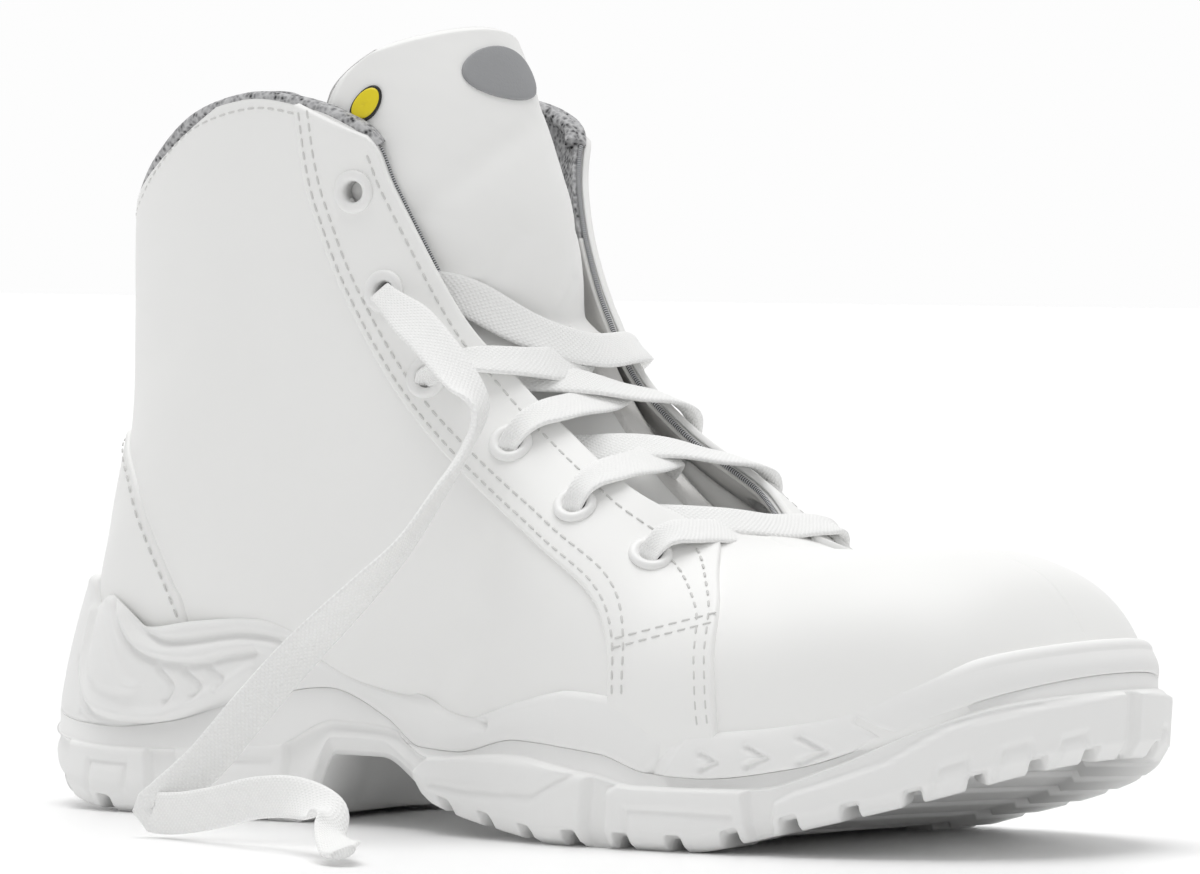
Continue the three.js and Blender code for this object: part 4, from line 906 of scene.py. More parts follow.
# Millimetres to a row of the tongue, and to half its width.
TONGUE_ROW, TONGUE_HALF = 15, 38


def tongue_front(position, across):
    """The puffy front face, with its creases, and its direction."""
    base = tongue_point(position, across, 0)
    ahead, behind = np.minimum(position + 0.03, 10.98), np.maximum(position - 0.03, 0)
    up = tongue_point(ahead, across, 0) - tongue_point(behind, across, 0)
    right = tongue_point(position, across + 0.02, 0) - tongue_point(position, across - 0.02, 0)
    normal = unit(np.cross(right, up))
    padded = smooth(position, 4.2, 5.2)
    wave = soft_waves(base, 30, 8) * 0.35 + soft_waves(base * (1, 1, 1.8), 11, 5) * 0.1
    crease = 0
    for (p0, a0), (p1, a1), wide, deep in TONGUE_CREASES:
        dp, da = p1 - p0, a1 - a0
        t = np.clip(((position - p0) * dp + (across - a0) * da) / (dp ** 2 + da ** 2), 0, 1)
        away = np.hypot((position - p0 - t * dp) * TONGUE_ROW, (across - a0 - t * da) * TONGUE_HALF)
        crease = crease + deep * np.exp(-(away / wide) ** 2)
    inward = 1 - np.abs(across)
    rim = smooth(inward, 0.0, 0.09) * smooth(10.98 - position, 0, 0.55)
    seam = np.exp(-((inward - 0.1) * TONGUE_HALF / 1.4) ** 2) * 0.5
    step = smooth(position, 4.25, 4.95)
    push = padded * (wave - crease - seam + (rim - 1) * 1.6) + 2.2 * step * smooth(inward, 0, 0.16) - 0.6
    push = push + LOWER_RISE * (1 - step) * smooth(position, 0, 1.5)
    return base + normal * push[..., None], normal


def tongue_piece():
    """The tongue: a padded bag above, thin microfibre below."""
    rows, columns = 230, 120
    position = np.linspace(0, 11, rows)[:, None] * np.ones((1, columns))
    across = -np.cos(np.linspace(0, np.pi, columns))[None] * np.ones((rows, 1))
    across = 0.5 * across + 0.5 * np.linspace(-1, 1, columns)[None]
    front, _ = tongue_front(position, across)
    back = tongue_point(position, across, 1)
    rings = np.concatenate([front, back[:, ::-1]], 1)
    count = rings.shape[1]
    faces = grid_faces(rows, count, wrap=True)
    for start in (0, (rows - 1) * count):
        for j in range(columns - 1):
            quad = (start + j, start + j + 1, start + count - 2 - j, start + count - 1 - j)
            faces.append(quad if start else quad[::-1])
    return tidy_mesh(new_piece("tongue_padded", rings.reshape(-1, 3), faces))


def webbing_piece():
    """The woven strip down the lower tongue."""
    position, across = np.meshgrid(np.linspace(4.55, 0.8, 90), np.linspace(0.06, 0.46, 14),
                                   indexing="ij")
    points, normals = tongue_front(position, across)
    return slab("tongue_webbing", points, normals, -0.3, 0.9)


def gusset_piece(name, side, inner):
    """The thin sheet that joins the lower tongue's edge to the inside of the quarter."""
    eyelets = resample(side_line(EYELETS[1:], 60), 50)
    spots, normals = on_upper(eyelets, side)
    quarter = spots - normals * 3.6
    position = np.linspace(4.7, 0.6, 50)
    edge = tongue_front(position, np.full(50, 0.96 * side))[0]
    share = np.linspace(0, 1, 16)[None, :, None]
    base = edge[:, None] * (1 - share) + quarter[:, None] * share
    sink = np.sin(np.pi * share) * inner
    normals = unit(np.cross(np.gradient(base, axis=0), np.gradient(base, axis=1)))
    normals *= np.sign((normals * (0.7, 0, 0.7)).sum(-1, keepdims=True))
    return slab(name, base - normals * sink, normals, -0.5, 0.5)


def oval_piece(name, position, across, width, tall):
    """An oval patch, width by tall millimetres, that lies on the tongue's front face."""
    def spread(rows, shares):
        ends = [tongue_point(position + k * rows, across + k * shares, 0) for k in (1, -1)]
        return np.linalg.norm(ends[0] - ends[1])

    right, up = spread(0, 0.02) / 0.04, spread(0.05, 0) / 0.1
    angle, rings = circle(40), []
    for share, lift in ((1, 0.05), (1, 0.55), (0.96, 0.75), (0.9, 0.8), (0.6, 0.8), (0.3, 0.8), (0.05, 0.8)):
        points, normal = tongue_front(position + share * tall / 2 * np.sin(angle) / up,
                                      across + share * width / 2 * np.cos(angle) / right)
        rings.append(points + normal * lift)
    return tube_body(name, np.array(rings))


def form_tree():
    """The upper's closed form, its opening bridged over, to cast rays on."""
    rows, turns = np.linspace(0.05, 17.6, 160), np.linspace(0, 1, 121)[:-1]
    points = upper_point(rows[:, None], turns[None])
    return BVHTree.FromPolygons(points.reshape(-1, 3).tolist(), grid_faces(160, 120, wrap=True))


# Share of the way from eyelet to eyelet, and height over the bridged form, in millimetres.
STRAND_STEPS = np.array([
    (-0.05, -3.4), (-0.015, -0.6), (0.03, 2.1), (0.08, 2.3), (0.16, 1.6), (0.25, 0.4), (0.36, -0.9),
    (0.5, -1.8), (0.62, -2.4), (0.7, -3.2), (0.78, -4.6), (0.87, -5.4), (0.95, -5.2),
])
# How far along a strand reaches, over and under, and where an under one starts to dive.
OVER_REACH, UNDER_REACH, DIVE_START, DIVE_SLOPE = 0.95, 0.78, 0.58, 55
# How far each crossing sags down the throat, from the vamp up, in millimetres.
CROSSING_SAGS = [8.5, 6, 6.5, 14]


def mirrored_ends(rows):
    """Rows for catmull, with a mirrored one at each end."""
    return np.concatenate([[2 * rows[0] - rows[1]], rows, [2 * rows[-1] - rows[-2]]])


def tongue_tree():
    """The tongue's front face, for the laces to lie on."""
    position, across = np.linspace(0, 10.9, 120), np.linspace(-1, 1, 50)
    points, _ = tongue_front(*np.broadcast_arrays(position[:, None], across[None]))
    return BVHTree.FromPolygons(points.reshape(-1, 3).tolist(), grid_faces(120, 50))


def strand_piece(name, trees, start, end, down, sag, lift, seed, reach):
    """A woven band out of one eyelet, over the tongue and under the other eyelet's side."""
    form, tongue = trees
    (p0, n0), (p1, n1) = start, end
    middle = unit(n0 + n1)
    at, offs = STRAND_STEPS.T
    steps = np.linspace(0, len(at) - 1, 72)
    heights = catmull(mirrored_ends(offs), steps)
    shares = np.interp(steps, np.arange(len(at)), at)
    shares, heights = shares[shares <= reach], heights[shares <= reach]
    dives = reach == UNDER_REACH
    over_until = DIVE_START if dives else 0.97
    if dives:
        heights = heights - DIVE_SLOPE * np.clip(shares - DIVE_START, 0, 1)
    s = np.clip(shares, 0, 1)[:, None]
    out = unit(n0 * (1 - s) ** 2 + middle * 2 * s * (1 - s) + n1 * s ** 2)
    sagged = p0 + (p1 - p0) * s + down * sag * np.sin(np.pi * s) ** 1.3
    found = np.array([form.ray_cast(Vector(p + middle * COLLAR_HEIGHT), Vector(-middle))[0]
                      for p in sagged])
    crossing = lift * np.exp(-((shares - 0.5) / 0.17) ** 2)
    route = found + out * (heights + crossing + 1.3 * np.clip(1 - 3 * shares, 0, 1))[:, None]
    for k, point in enumerate(route):
        hit = tongue.ray_cast(Vector(point + out[k] * 40), Vector(-out[k]))[0]
        if hit is not None and 0.2 < shares[k] < over_until:
            over = (point - np.array(hit)) @ out[k]
            route[k] += out[k] * max(1.0 + crossing[k] - over, 0)
    for _ in range(8):
        route[8:-1] = route[8:-1] * 0.5 + (route[7:-2] + route[9:]) * 0.25
    route[shares < 0] += unit(p1 - p0) * (shares[shares < 0] * 40)[:, None]
    along = unit(np.gradient(route, axis=0))
    wides = np.cross(unit(p1 - p0), out)
    tilt = np.radians(np.random.default_rng(seed).uniform(-9, 9)) * np.sin(np.pi * s)
    wides = wides * np.cos(tilt) + np.cross(along, wides) * np.sin(tilt)
    pinch = 0.5 + 0.5 * smooth(shares, -0.01, 0.16) - 0.15 * smooth(shares, 0.8, 1)
    curl = 1.0 * (1 - smooth(shares, 0.0, 0.16)) + 0.3
    return lace_band(name, route, wides, pinch, curl)


def lace_pieces():
    """The eight strands of the four crossings, from the vamp up, the medial ones on top."""
    trees = form_tree(), tongue_tree()
    (lateral, lateral_n), (medial, medial_n) = eyelet_spots()
    made = []
    for i, sag in zip(range(5, 1, -1), CROSSING_SAGS):
        down = unit(lateral[i] + medial[i] - lateral[i - 1] - medial[i - 1])
        starts = (lateral[i], lateral_n[i]), (medial[i], medial_n[i])
        ends = (medial[i - 1], medial_n[i - 1]), (lateral[i - 1], lateral_n[i - 1])
        made.append(strand_piece(f"lace_{7 - i}_under", trees, starts[0], ends[0], down, sag, 0.0, i,
                                 UNDER_REACH))
        made.append(strand_piece(f"lace_{7 - i}_over", trees, starts[1], ends[1], down, sag, 1.8, 20 + i,
                                 OVER_REACH))
    return made


def lace_route():
    """The free end's centreline at even steps, and its wide directions."""
    padded, at = mirrored_ends(LACE_ROUTE), np.linspace(0, len(LACE_ROUTE) - 1, 900)
    dense = np.stack([catmull(padded[:, k], at) for k in range(4)], 1)
    run = run_of(dense[:, :3])
    even = np.linspace(0, run[-1], 260)
    route = np.stack([np.interp(even, run, dense[:, k]) for k in range(3)], 1)
    face = np.radians(np.interp(even, run, dense[:, 3]))
    along = unit(np.gradient(route, axis=0))
    flat = unit(np.cross(LACE_LOOK, along))
    deep = unit(np.cross(flat, along))
    wides = flat * np.cos(face)[:, None] + deep * np.sin(face)[:, None]
    return route, wides, run[-1]


def lace_end_piece():
    route, wides, _ = lace_route()
    share = np.linspace(0, 1, len(route))
    pinch = 0.62 + 0.38 * smooth(share, 0, 0.06) - 0.42 * smooth(share, 0.975, 1)
    curl = 0.7 * np.exp(-((share - 0.2) / 0.08) ** 2) + 0.3
    return lace_band("lace_end_band", route, wides, pinch, curl)


def turned_piece(name, centre, normal, profile, around):
    """A closed body of revolution round an eyelet's axis: profile is (radius, height)."""
    side = unit(np.cross(normal, [0.3, 0.1, 1]))
    other = np.cross(normal, side)
    angle = circle(around)[:, None]
    rings = np.array([centre + normal * h + r * (side * np.cos(angle) + other * np.sin(angle))
                      for r, h in profile])
    last = (len(rings) - 1) * around
    faces = grid_faces(len(rings), around, wrap=True)
    faces += [(last + j, last + (j + 1) % around, (j + 1) % around, j) for j in range(around)]
    return tidy_mesh(new_piece(name, rings.reshape(-1, 3), faces))


def eyelet_piece(name, centre, normal):
    """A pressed plastic ring: rolled flange, hole and barrel."""
    hole, base, under = EYELET_BORE, EYELET_SEAT, EYELET_SEAT - 0.25
    arc = [(3.75 + 1.25 * math.cos(angle), base + 0.15 + math.sin(angle))
           for angle in map(math.radians, range(-8, 181, 21))]
    profile = [(EYELET_RADIUS - 0.2, under), *arc, (hole, base + 0.1), (hole, -EYELET_BARREL),
               (hole + 0.7, -EYELET_BARREL), (hole + 0.7, under)]
    return turned_piece(name, centre, normal, profile, 40)


def insole_piece():
    """The removable insole as a thin slab over the footbed, following the upper's inside."""
    xs = np.linspace(-0.438, 0.452, 150) * LENGTH
    across = np.sin(np.linspace(-np.pi / 2, np.pi / 2, 46))
    base = []
    for x in xs:
        z = by_x(FOOTBED, x) * FOOTBED_HEIGHT + 3.2
        edges = []
        for side in (-1, 1):
            edges.append(on_upper([[x, z]], side)[0][0, 1] - side * 3.4)
        middle, half = (edges[0] + edges[1]) / 2, max((edges[1] - edges[0]) / 2, 0.5)
        cup = 3.2 * np.abs(across) ** 4 * (1 - smooth(x, 20, 80))
        base.append(np.stack([np.full(46, x), middle + half * across, z + cup + 0 * across], 1))
    base = np.array(base)
    normals = np.zeros_like(base) + (0, 0, 1)
    return slab("insole_sheet", base, normals, -1.6, 1.4, uv=base[..., :2])


def lining_sides():
    """The upper's grids for the lining, which stands a little above the collar's edge."""
    made = []
    for points, normals, run, opened in upper_surface(upper_rows(230), 110):
        up = np.where(opened[:, None], np.exp(-(run / 5.0) ** 2), 0) * smooth(-points[..., 0], 46, 60)
        rise = unit(np.gradient(points, axis=1) * -1.0)
        points = points + rise * (up * 2.4)[..., None] - normals * (up * 1.1)[..., None]
        made.append((points, normals, run, opened))
    return made


def piping_piece(name, side, span, radius, off):
    """A thin cord along the opening's edge, from span[0] to span[1], off by (up, outward)."""
    line = OPENING[(OPENING[:, 0] > span[0]) & (OPENING[:, 0] < span[1])]
    spots, normals = on_upper(beside(resample(line, 420), -off[0]), side)
    return tube_piece(name, spots + normals * off[1], normals, radius)


def tube_piece(name, spots, normals, radius):
    """A thin round cord along spots, its UV in millimetres along it."""
    other = np.cross(unit(np.gradient(spots, axis=0)), normals)
    angle = circle(10)
    points = spots[:, None] + radius * (normals[:, None] * np.cos(angle)[:, None]
                                        + other[:, None] * np.sin(angle)[:, None])
    uv = np.stack(np.broadcast_arrays(angle[None] / 6.283, run_of(spots)[:, None]), -1)
    return tube_body(name, points, uv)


def is_facing(points):
    """True along the throat below the collar, where the inside is faced with microfibre."""
    away = line_distance(points[:, 0], points[:, 2], OPENING[OPENING[:, 0] > -34][::4])
    return (away < 15) & (points[:, 2] < 133) & (points[:, 0] < THROAT_FRONT + 4)


def eyelet_shadow_piece(name, centre, normal):
    """A dark disc of painted shade behind an eyelet's hole."""
    profile = [(0.01, -2.75), (2.9, -2.75), (2.9, -3.0), (0.01, -3.0)]
    return turned_piece(name, centre, normal, profile, 24)


# Materials.

def colour(code):
    """A linear colour from an sRGB hex code."""
    parts = [int(code[i:i + 2], 16) / 255 for i in (1, 3, 5)]
    return tuple(((p + 0.055) / 1.055) ** 2.4 if p > 0.04045 else p / 12.92 for p in parts) + (1.0,)


def set_inputs(tree, node, inputs):
    """Sets a node's inputs, or links them where a value is a socket."""
    for key, value in inputs.items():
        if isinstance(value, bpy.types.NodeSocket):
            tree.links.new(value, node.inputs[key])
        else:
            node.inputs[key].default_value = value


def add_node(tree, kind, inputs=None, **settings):
    """A node of that kind, with inputs set or linked and settings applied."""
    node = tree.nodes.new(kind)
    for key, value in settings.items():
        setattr(node, key, value)
    set_inputs(tree, node, inputs or {})
    return node


def new_material(name):
    """A material with its Principled BSDF and output, ready for more nodes."""
    material = bpy.data.materials.new(name)
    material.use_nodes = True
    tree = material.node_tree
    tree.nodes.clear()
    shader = add_node(tree, "ShaderNodeBsdfPrincipled")
    add_node(tree, "ShaderNodeOutputMaterial", {"Surface": shader.outputs["BSDF"]})
    return material, tree, shader


def microfibre_material():
    """White coated microfibre: a very fine leather grain, a few broad tone changes and a
    soft sheen, so that it reads as matt synthetic leather."""
    material, tree, shader = new_material("white_microfibre")
    place = add_node(tree, "ShaderNodeTexCoord").outputs["Object"]
    grain = add_node(tree, "ShaderNodeTexVoronoi", {"Vector": place, "Scale": 900.0}, feature="F1")
    fine = add_node(tree, "ShaderNodeTexNoise",
                    {"Vector": place, "Scale": 2200.0, "Detail": 3.0, "Roughness": 0.6})
    wrinkle = add_node(tree, "ShaderNodeTexNoise",
                       {"Vector": place, "Scale": 160.0, "Detail": 3.0, "Distortion": 0.6})
    both = add_node(tree, "ShaderNodeMix",
                    {"Factor": 0.45, "A": grain.outputs["Distance"], "B": fine.outputs["Fac"]})
    small = add_node(tree, "ShaderNodeBump",
                     {"Height": both.outputs["Result"], "Strength": 0.8, "Distance": 0.0006})
    large = add_node(tree, "ShaderNodeBump", {"Height": wrinkle.outputs["Fac"], "Strength": 0.35,
                                              "Distance": 0.0006, "Normal": small.outputs["Normal"]})
    tone = add_node(tree, "ShaderNodeTexNoise", {"Vector": place, "Scale": 22.0, "Detail": 2.0})
    mix = add_node(tree, "ShaderNodeMix", {"Factor": tone.outputs["Fac"], "A": colour("#C6C6C5"),
                                           "B": colour("#D0D0CF")}, data_type="RGBA")
    rough = add_node(tree, "ShaderNodeMapRange",
                     {"Value": tone.outputs["Fac"], "To Min": 0.46, "To Max": 0.6})
    set_inputs(tree, shader, {"Base Color": mix.outputs["Result"], "Roughness": rough.outputs["Result"],
                              "Normal": large.outputs["Normal"], "Specular IOR Level": 0.35})
    return material


def polyurethane_material():
    """Moulded white polyurethane: smooth, a little waxy, with a faint spark-eroded skin."""
    material, tree, shader = new_material("white_polyurethane")
    place = add_node(tree, "ShaderNodeTexCoord").outputs["Object"]
    skin = add_node(tree, "ShaderNodeTexNoise", {"Vector": place, "Scale": 1500.0, "Detail": 2.0})
    bump = add_node(tree, "ShaderNodeBump", {"Height": skin.outputs["Fac"], "Strength": 0.1, "Distance": 0.0002})
    set_inputs(tree, shader, {"Normal": bump.outputs["Normal"], "Base Color": colour("#E6E6E6"),
                              "Roughness": 0.48, "Specular IOR Level": 0.4, "Subsurface Weight": 0.12,
                              "Subsurface Radius": (0.003, 0.003, 0.003)})
    return material


def two_colours(ramp, low, dark, high, pale):
    """Sets a ramp's two ends."""
    for element, position, code in zip(ramp.color_ramp.elements, (low, high), (dark, pale)):
        element.position, element.color = position, colour(code)


def mesh_material():
    """Open spacer mesh in black, grey and white yarn: a speckled lining."""
    material, tree, shader = new_material("speckled_spacer_mesh")
    place = add_node(tree, "ShaderNodeTexCoord").outputs["Object"]
    cells = add_node(tree, "ShaderNodeTexVoronoi", {"Vector": place, "Scale": 900.0}, feature="F1")
    yarn = add_node(tree, "ShaderNodeTexNoise", {"Vector": place, "Scale": 520.0, "Detail": 2.0})
    ramp = add_node(tree, "ShaderNodeValToRGB", {"Fac": yarn.outputs["Fac"]})
    two_colours(ramp, 0.36, "#27282A", 0.62, "#A9A9AB")
    hole = add_node(tree, "ShaderNodeMapRange",
                    {"Value": cells.outputs["Distance"], "From Min": 0.2, "From Max": 0.75})
    mix = add_node(tree, "ShaderNodeMix", {"Factor": hole.outputs["Result"], "A": ramp.outputs["Color"],
                                           "B": colour("#C4C4C5")}, data_type="RGBA")
    bump = add_node(tree, "ShaderNodeBump",
                    {"Height": cells.outputs["Distance"], "Strength": 0.7, "Distance": 0.0006})
    set_inputs(tree, shader, {"Base Color": mix.outputs["Result"], "Normal": bump.outputs["Normal"],
                              "Roughness": 0.9})
    return material


def dash_material():
    """Twisted black and white edge tape."""
    material, tree, shader = new_material("dashed_edge_tape")
    uv = add_node(tree, "ShaderNodeTexCoord").outputs["UV"]
    wave = add_node(tree, "ShaderNodeTexWave", {"Vector": uv, "Scale": 0.55, "Distortion": 0.8},
                    bands_direction="Y")
    ramp = add_node(tree, "ShaderNodeValToRGB", {"Fac": wave.outputs["Fac"]})
    two_colours(ramp, 0.42, "#3A3B3E", 0.6, "#C9CACC")
    set_inputs(tree, shader, {"Base Color": ramp.outputs["Color"], "Roughness": 0.85})
    return material


def lace_material():
    """Flat woven polyester lace: a diagonal weave about half a millimetre wide."""
    material, tree, shader = new_material("woven_white_lace")
    uv = add_node(tree, "ShaderNodeTexCoord").outputs["UV"]
    threads = []
    for lean in (0.72, -0.72):
        turned = add_node(tree, "ShaderNodeMapping", {"Vector": uv, "Rotation": (0, 0, lean)})
        threads.append(add_node(tree, "ShaderNodeTexWave", {"Vector": turned.outputs["Vector"],
                                                            "Scale": 0.36}, bands_direction="X"))
    weave = add_node(tree, "ShaderNodeMath", {k: thread.outputs["Fac"] for k, thread in enumerate(threads)},
                     operation="MULTIPLY").outputs["Value"]
    bump = add_node(tree, "ShaderNodeBump", {"Height": weave, "Strength": 0.4, "Distance": 0.0004})
    mix = add_node(tree, "ShaderNodeMix", {"Factor": weave, "A": colour("#F4F4F3"),
                                           "B": colour("#FAFAF9")}, data_type="RGBA")
    set_inputs(tree, shader, {"Base Color": mix.outputs["Result"], "Normal": bump.outputs["Normal"],
                              "Roughness": 0.8, "Sheen Weight": 0.15})
    return material


def plain_material(name, code, roughness, scale, strength):
    """An even, moulded or woven surface in one colour with a fine unevenness."""
    material, tree, shader = new_material(name)
    place = add_node(tree, "ShaderNodeTexCoord").outputs["Object"]
    noise = add_node(tree, "ShaderNodeTexNoise", {"Vector": place, "Scale": scale, "Detail": 2.0})
    bump = add_node(tree, "ShaderNodeBump",
                    {"Height": noise.outputs["Fac"], "Strength": strength, "Distance": 0.0003})
    set_inputs(tree, shader, {"Normal": bump.outputs["Normal"], "Base Color": colour(code),
                              "Roughness": roughness})
    return material


# Materials in one colour: its code, roughness, and the scale and strength of the unevenness.
PLAIN = {
    # A pale, matt facing inside the throat.
    "pale_facing": ("#E9E8E6", 0.8, 900, 0.3),
    # A soft pale sheet under the foot, with a visible nap.
    "insole_textile": ("#D9D9D8", 0.95, 1200, 0.6),
    # Smooth moulded plastic with a small highlight.
    "eyelet_plastic": ("#F0F0EF", 0.32, 700, 0.05),
    # Thread a little darker than the microfibre, as painted shade of the stitch holes, so that the seams show.
    "thread": ("#D6D6D4", 0.6, 2600, 0.2),
    # A grey woven badge.
    "badge_textile": ("#999A9C", 0.75, 1500, 0.4),
    # A bright, glossy disc and its black edge.
    "disc_yellow": ("#E9D51E", 0.4, 900, 0.05),
    "disc_black": ("#1E1E1C", 0.45, 900, 0.05),
    # Painted shade: a dark disc behind an eyelet's hole.
    "dark_inside": ("#3C3D3F", 0.95, 1500, 0.6),
    # A pale, coarse woven strip.
    "webbing": ("#E4E3E1", 0.85, 1100, 0.9),
}
MATERIALS = {
    "white_microfibre": microfibre_material,
    "white_polyurethane": polyurethane_material,
    "speckled_spacer_mesh": mesh_material,
    "dashed_edge_tape": dash_material,
    "woven_white_lace": lace_material,
}


def made_of(name):
    """The material of that name, made once."""
    if name in PLAIN:
        return bpy.data.materials.get(name) or plain_material(name, *PLAIN[name])
    return bpy.data.materials.get(name) or MATERIALS[name]()


# Pieces by group. Each builder makes its pieces and returns nothing.

def build_sole():
    ride_on_root(midsole_piece(), "white_polyurethane", "white_polyurethane", "midsole")
    ride_on_root(outsole_piece(), "white_polyurethane", "white_polyurethane", "outsole")
    ride_on_root(insole_piece(), "insole_textile", "insole_textile", "insole")


def build_upper(rows, around):
    sides = upper_surface(upper_rows(rows), around)
    shell = shell_piece("upper_shell", sides, -SHELL_WALL, 0.0,
                        lambda p: above_footbed(p) & clear_of_eyelets(p, 3.0), edge_fold=1.0)
    ride_on_root(shell, "white_microfibre", "white_microfibre", "upper")
    inner = lining_sides()
    for name, material, faced in (("upper_lining", "speckled_spacer_mesh", False),
                                  ("throat_facing", "pale_facing", True)):
        lining = shell_piece(name, inner, LINING_BACK, LINING_FACE, lambda p, faced=faced: above_footbed(p)
                             & clear_of_eyelets(p, 3.2) & (is_facing(p) == faced))
        ride_on_root(lining, material, "white_microfibre")
    for side, radius, until in ((1, 0.55, 49), (-1, 0.35, -16)):
        name = "medial" if side > 0 else "lateral"
        piping = piping_piece(f"edge_tape_{name}", side, (-31, until), radius, (0.3, -1.3))
        ride_on_root(piping, "dashed_edge_tape", "white_microfibre")
        for part, fat, off in (("edge", 1.5, (-0.2, -1.5)), ("pad", 1.9, (-0.6, -3.2))):
            edge = piping_piece(f"collar_{part}_{name}", side, (-150, -31), fat, off)
            ride_on_root(edge, "speckled_spacer_mesh", "white_microfibre")
    rows = ROW_SCAN[(SCAN_LOW[:, 1] > 100) & (SCAN_LOW[:, 1] < 129)]
    normals = upper_normal(rows, 0.5 + 0 * rows)
    tape = tube_piece("heel_seam_tape", upper_point(rows, 0.5) - 0.2 * normals, normals, 0.4)
    ride_on_root(tape, "dashed_edge_tape", "white_microfibre")


def build_overlays():
    for side, name in ((-1, "eyestay_lateral"), (1, "eyestay_medial")):
        points, normals = eyestay_grid(side)
        depth = surface_depth(points)
        piece = slab(name + "_overlay", points, normals, OVERLAY_SUNK - depth, OVERLAY_TOP - depth,
                     keep=lambda p: clear_of_eyelets(p, 3.3))
        ride_on_root(piece, "white_microfibre", "white_microfibre", name)
    points, normals = counter_grid()
    piece = slab("heel_counter_overlay", points, normals, OVERLAY_SUNK, COUNTER_TOP)
    ride_on_root(piece, "white_microfibre", "white_microfibre", "heel_counter")
    ride_on_root(stitches_piece("seam_stitches"), "thread", "white_microfibre")


def build_tongue():
    tongue = tongue_piece()
    ride_on_root(tongue, "white_microfibre", "white_microfibre", "tongue")
    for side, name in ((-1, "gusset_lateral"), (1, "gusset_medial")):
        ride_on_root(gusset_piece(name, side, -1.0), "white_microfibre", "white_microfibre")
    position = np.linspace(8.7, 10.6, 120)
    spots = tongue_point(position, -0.985, 0.75)
    tape = tube_piece("tongue_edge_tape", spots, unit(spots - tongue_point(position, -0.7, 0.75)), 0.4)
    ride_on_root(tape, "dashed_edge_tape", "white_microfibre")
    ride_on_root(webbing_piece(), "webbing", "white_microfibre")
    badge = oval_piece("badge_oval", 9.2, 0.04, 26, 13.5)
    ride_on_root(badge, "badge_textile", "grey_badge", "tongue_badge")
    ring = oval_piece("disc_ring", 9.2, -0.66, 7.6, 7.6)
    ride_on_root(ring, "disc_black", "yellow_disc")
    disc = oval_piece("disc_face", 9.2, -0.66, 6.2, 6.2)
    for vertex in disc.data.vertices:
        vertex.co += vertex.normal * 0.0003
    ride_on_root(disc, "disc_yellow", "yellow_disc", "tongue_disc")


def build_eyelets():
    for side, (centres, normals) in zip(("lateral", "medial"), eyelet_spots()):
        for number, (centre, normal) in enumerate(zip(centres, normals), 1):
            name = f"eyelet_{side}_{number}"
            ring = eyelet_piece(name + "_ring", centre, normal)
            ride_on_root(ring, "eyelet_plastic", "white_eyelet", name)
            # Dark discs of painted shade behind the lateral eyelets' holes.
            if side == "lateral":
                shadow = eyelet_shadow_piece(name + "_inside", centre, normal)
                ride_on_root(shadow, "dark_inside", "white_microfibre")


def build_laces():
    pieces = lace_pieces()
    for index, piece in enumerate(pieces):
        nodes = [f"lace_crossing_{index // 2 + 1}"] if index % 2 == 0 else []
        ride_on_root(piece, "woven_white_lace", "white_lace", *nodes)
    end = ride_on_root(lace_end_piece(), "woven_white_lace", "white_lace", "lace_end")


# The stage: the camera's place and aim in millimetres, its lens, the light from above and
# the way from the shoe to the camera's side, where the even light is dimmer.
CAMERA_PLACE, CAMERA_AIM, CAMERA_LENS = (1284.6, -1530.1, 150), (3.7, 2, 88.5), 262.9
SUN_DIRECTION, SUN_SPREAD = (0.12, -0.02, -1), 50
CAMERA_SIDE = (0.64, -0.766, 0.0)


def build_stage(world_strength, key, front_share):
    scene = bpy.context.scene
    floor_mesh = bpy.data.meshes.new("floor")
    floor_mesh.from_pydata([(-6, -6, 0), (6, -6, 0), (6, 6, 0), (-6, 6, 0)], [], [(0, 1, 2, 3)])
    floor = bpy.data.objects.new("floor", floor_mesh)
    scene.collection.objects.link(floor)
    material, tree, shader = new_material("white_sweep")
    set_inputs(tree, shader, {"Base Color": colour("#FAFAFA"), "Roughness": 0.42,
                              "Specular IOR Level": 0.25})
    floor.data.materials.append(material)
    world = bpy.data.worlds.new("studio")
    world.use_nodes = True
    tree = world.node_tree
    heading = add_node(tree, "ShaderNodeTexCoord").outputs["Generated"]
    toward = add_node(tree, "ShaderNodeVectorMath", {0: heading, 1: CAMERA_SIDE}, operation="DOT_PRODUCT")
    dim = add_node(tree, "ShaderNodeMapRange",
                   {"Value": toward.outputs["Value"], "From Min": -0.95, "From Max": -0.35,
                    "To Min": world_strength, "To Max": world_strength * front_share})
    set_inputs(tree, tree.nodes["Background"],
               {"Color": colour("#FDFDFD"), "Strength": dim.outputs["Result"]})
    scene.world = world
    sun = bpy.data.lights.new("top_softbox", "SUN")
    sun.energy, sun.angle = key, math.radians(SUN_SPREAD)
    lamp = bpy.data.objects.new("top_softbox", sun)
    lamp.rotation_euler = Vector(SUN_DIRECTION).to_track_quat("-Z", "Y").to_euler()
    scene.collection.objects.link(lamp)
    camera = bpy.data.objects.new("camera", bpy.data.cameras.new("camera"))
    camera.data.lens, camera.data.sensor_width = CAMERA_LENS, 36
    camera.location = Vector(CAMERA_PLACE) * MM
    aim = Vector(CAMERA_AIM) * MM
    camera.rotation_euler = (aim - camera.location).to_track_quat("-Z", "Y").to_euler()
    scene.collection.objects.link(camera)
    scene.camera = camera
    scene.view_settings.view_transform = "Standard"


class ShoeUpperSettings(bpy.types.PropertyGroup):
    rows: bpy.props.IntProperty(
        name="Rows", description="Rows of points along the upper", default=270, min=120, max=600)
    around: bpy.props.IntProperty(
        name="Points around", description="Points round half of each row", default=112, min=60, max=240)


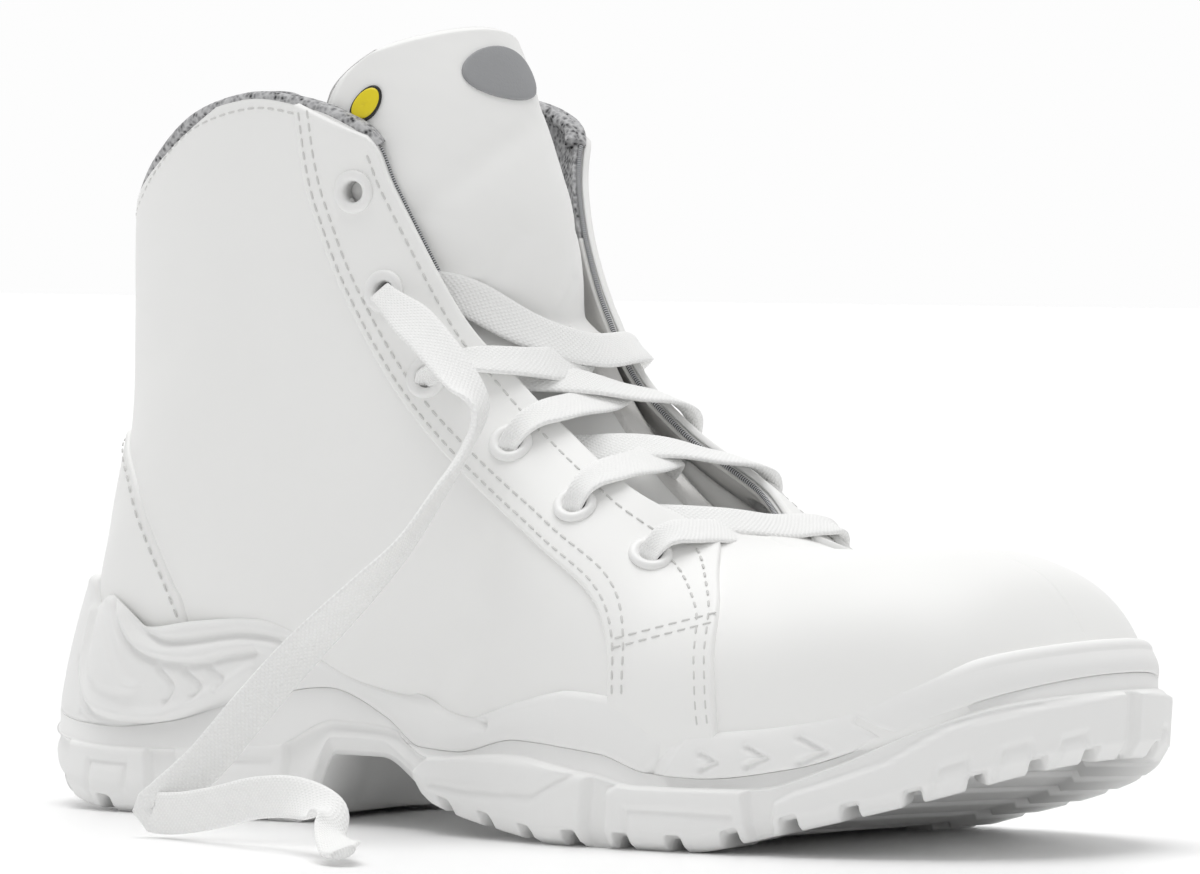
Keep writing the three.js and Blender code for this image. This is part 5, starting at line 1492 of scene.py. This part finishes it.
class ShoeStageSettings(bpy.types.PropertyGroup):
    world: bpy.props.FloatProperty(
        name="World", description="Strength of the even light behind the shoe", default=1.0, min=0)
    key: bpy.props.FloatProperty(
        name="Top light", description="Strength of the soft light from above", default=1.75, min=0)
    front: bpy.props.FloatProperty(
        name="Front share", description="How bright the side of the camera is beside the back",
        default=0.55, min=0, max=1)


class SHOE_OT_sole(bpy.types.Operator):
    """Build the midsole, outsole and insole"""
    bl_idname = "shoe.sole"
    bl_label = "Build sole"

    def execute(self, context):
        build_sole()
        return {"FINISHED"}


class SHOE_OT_upper(bpy.types.Operator):
    """Build the upper's shell, its lining and edge tapes"""
    bl_idname = "shoe.upper"
    bl_label = "Build upper"

    def execute(self, context):
        settings = context.scene.shoe_upper
        build_upper(settings.rows, settings.around)
        return {"FINISHED"}


class SHOE_OT_overlays(bpy.types.Operator):
    """Build the eyestays, the heel counter and the stitches"""
    bl_idname = "shoe.overlays"
    bl_label = "Build overlays"

    def execute(self, context):
        build_overlays()
        return {"FINISHED"}


class SHOE_OT_tongue(bpy.types.Operator):
    """Build the tongue with its badge and disc"""
    bl_idname = "shoe.tongue"
    bl_label = "Build tongue"

    def execute(self, context):
        build_tongue()
        return {"FINISHED"}


class SHOE_OT_eyelets(bpy.types.Operator):
    """Build the twelve eyelets"""
    bl_idname = "shoe.eyelets"
    bl_label = "Build eyelets"

    def execute(self, context):
        build_eyelets()
        return {"FINISHED"}


class SHOE_OT_laces(bpy.types.Operator):
    """Build the lacing and the free lace end"""
    bl_idname = "shoe.laces"
    bl_label = "Build laces"

    def execute(self, context):
        build_laces()
        return {"FINISHED"}


class SHOE_OT_stage(bpy.types.Operator):
    """Build the floor, lights and camera"""
    bl_idname = "shoe.stage"
    bl_label = "Build stage"

    def execute(self, context):
        settings = context.scene.shoe_stage
        build_stage(settings.world, settings.key, settings.front)
        return {"FINISHED"}


class SHOE_PT_panel(bpy.types.Panel):
    bl_label = "High-top safety shoe"
    bl_idname = "SHOE_PT_panel"
    bl_space_type = "VIEW_3D"
    bl_region_type = "UI"
    bl_category = "Shoe"

    def draw(self, context):
        column = self.layout.column()
        for group in (context.scene.shoe_upper, context.scene.shoe_stage):
            for key in group.__annotations__:
                column.prop(group, key)
        for operator in OPERATORS:
            column.operator(operator.bl_idname)


OPERATORS = (SHOE_OT_sole, SHOE_OT_upper, SHOE_OT_overlays, SHOE_OT_tongue, SHOE_OT_eyelets,
             SHOE_OT_laces, SHOE_OT_stage)
CLASSES = (ShoeUpperSettings, ShoeStageSettings) + OPERATORS + (SHOE_PT_panel,)


def register():
    for each in CLASSES:
        bpy.utils.register_class(each)
    bpy.types.Scene.shoe_upper = bpy.props.PointerProperty(type=ShoeUpperSettings)
    bpy.types.Scene.shoe_stage = bpy.props.PointerProperty(type=ShoeStageSettings)


def unregister():
    del bpy.types.Scene.shoe_stage
    del bpy.types.Scene.shoe_upper
    for each in reversed(CLASSES):
        bpy.utils.unregister_class(each)


def main():
    register()
    for piece in bpy.context.scene.objects:
        piece.select_set(False)
    for operator in OPERATORS:
        group, name = operator.bl_idname.split(".")
        getattr(getattr(bpy.ops, group), name)()


if __name__ == "__main__":
    main()
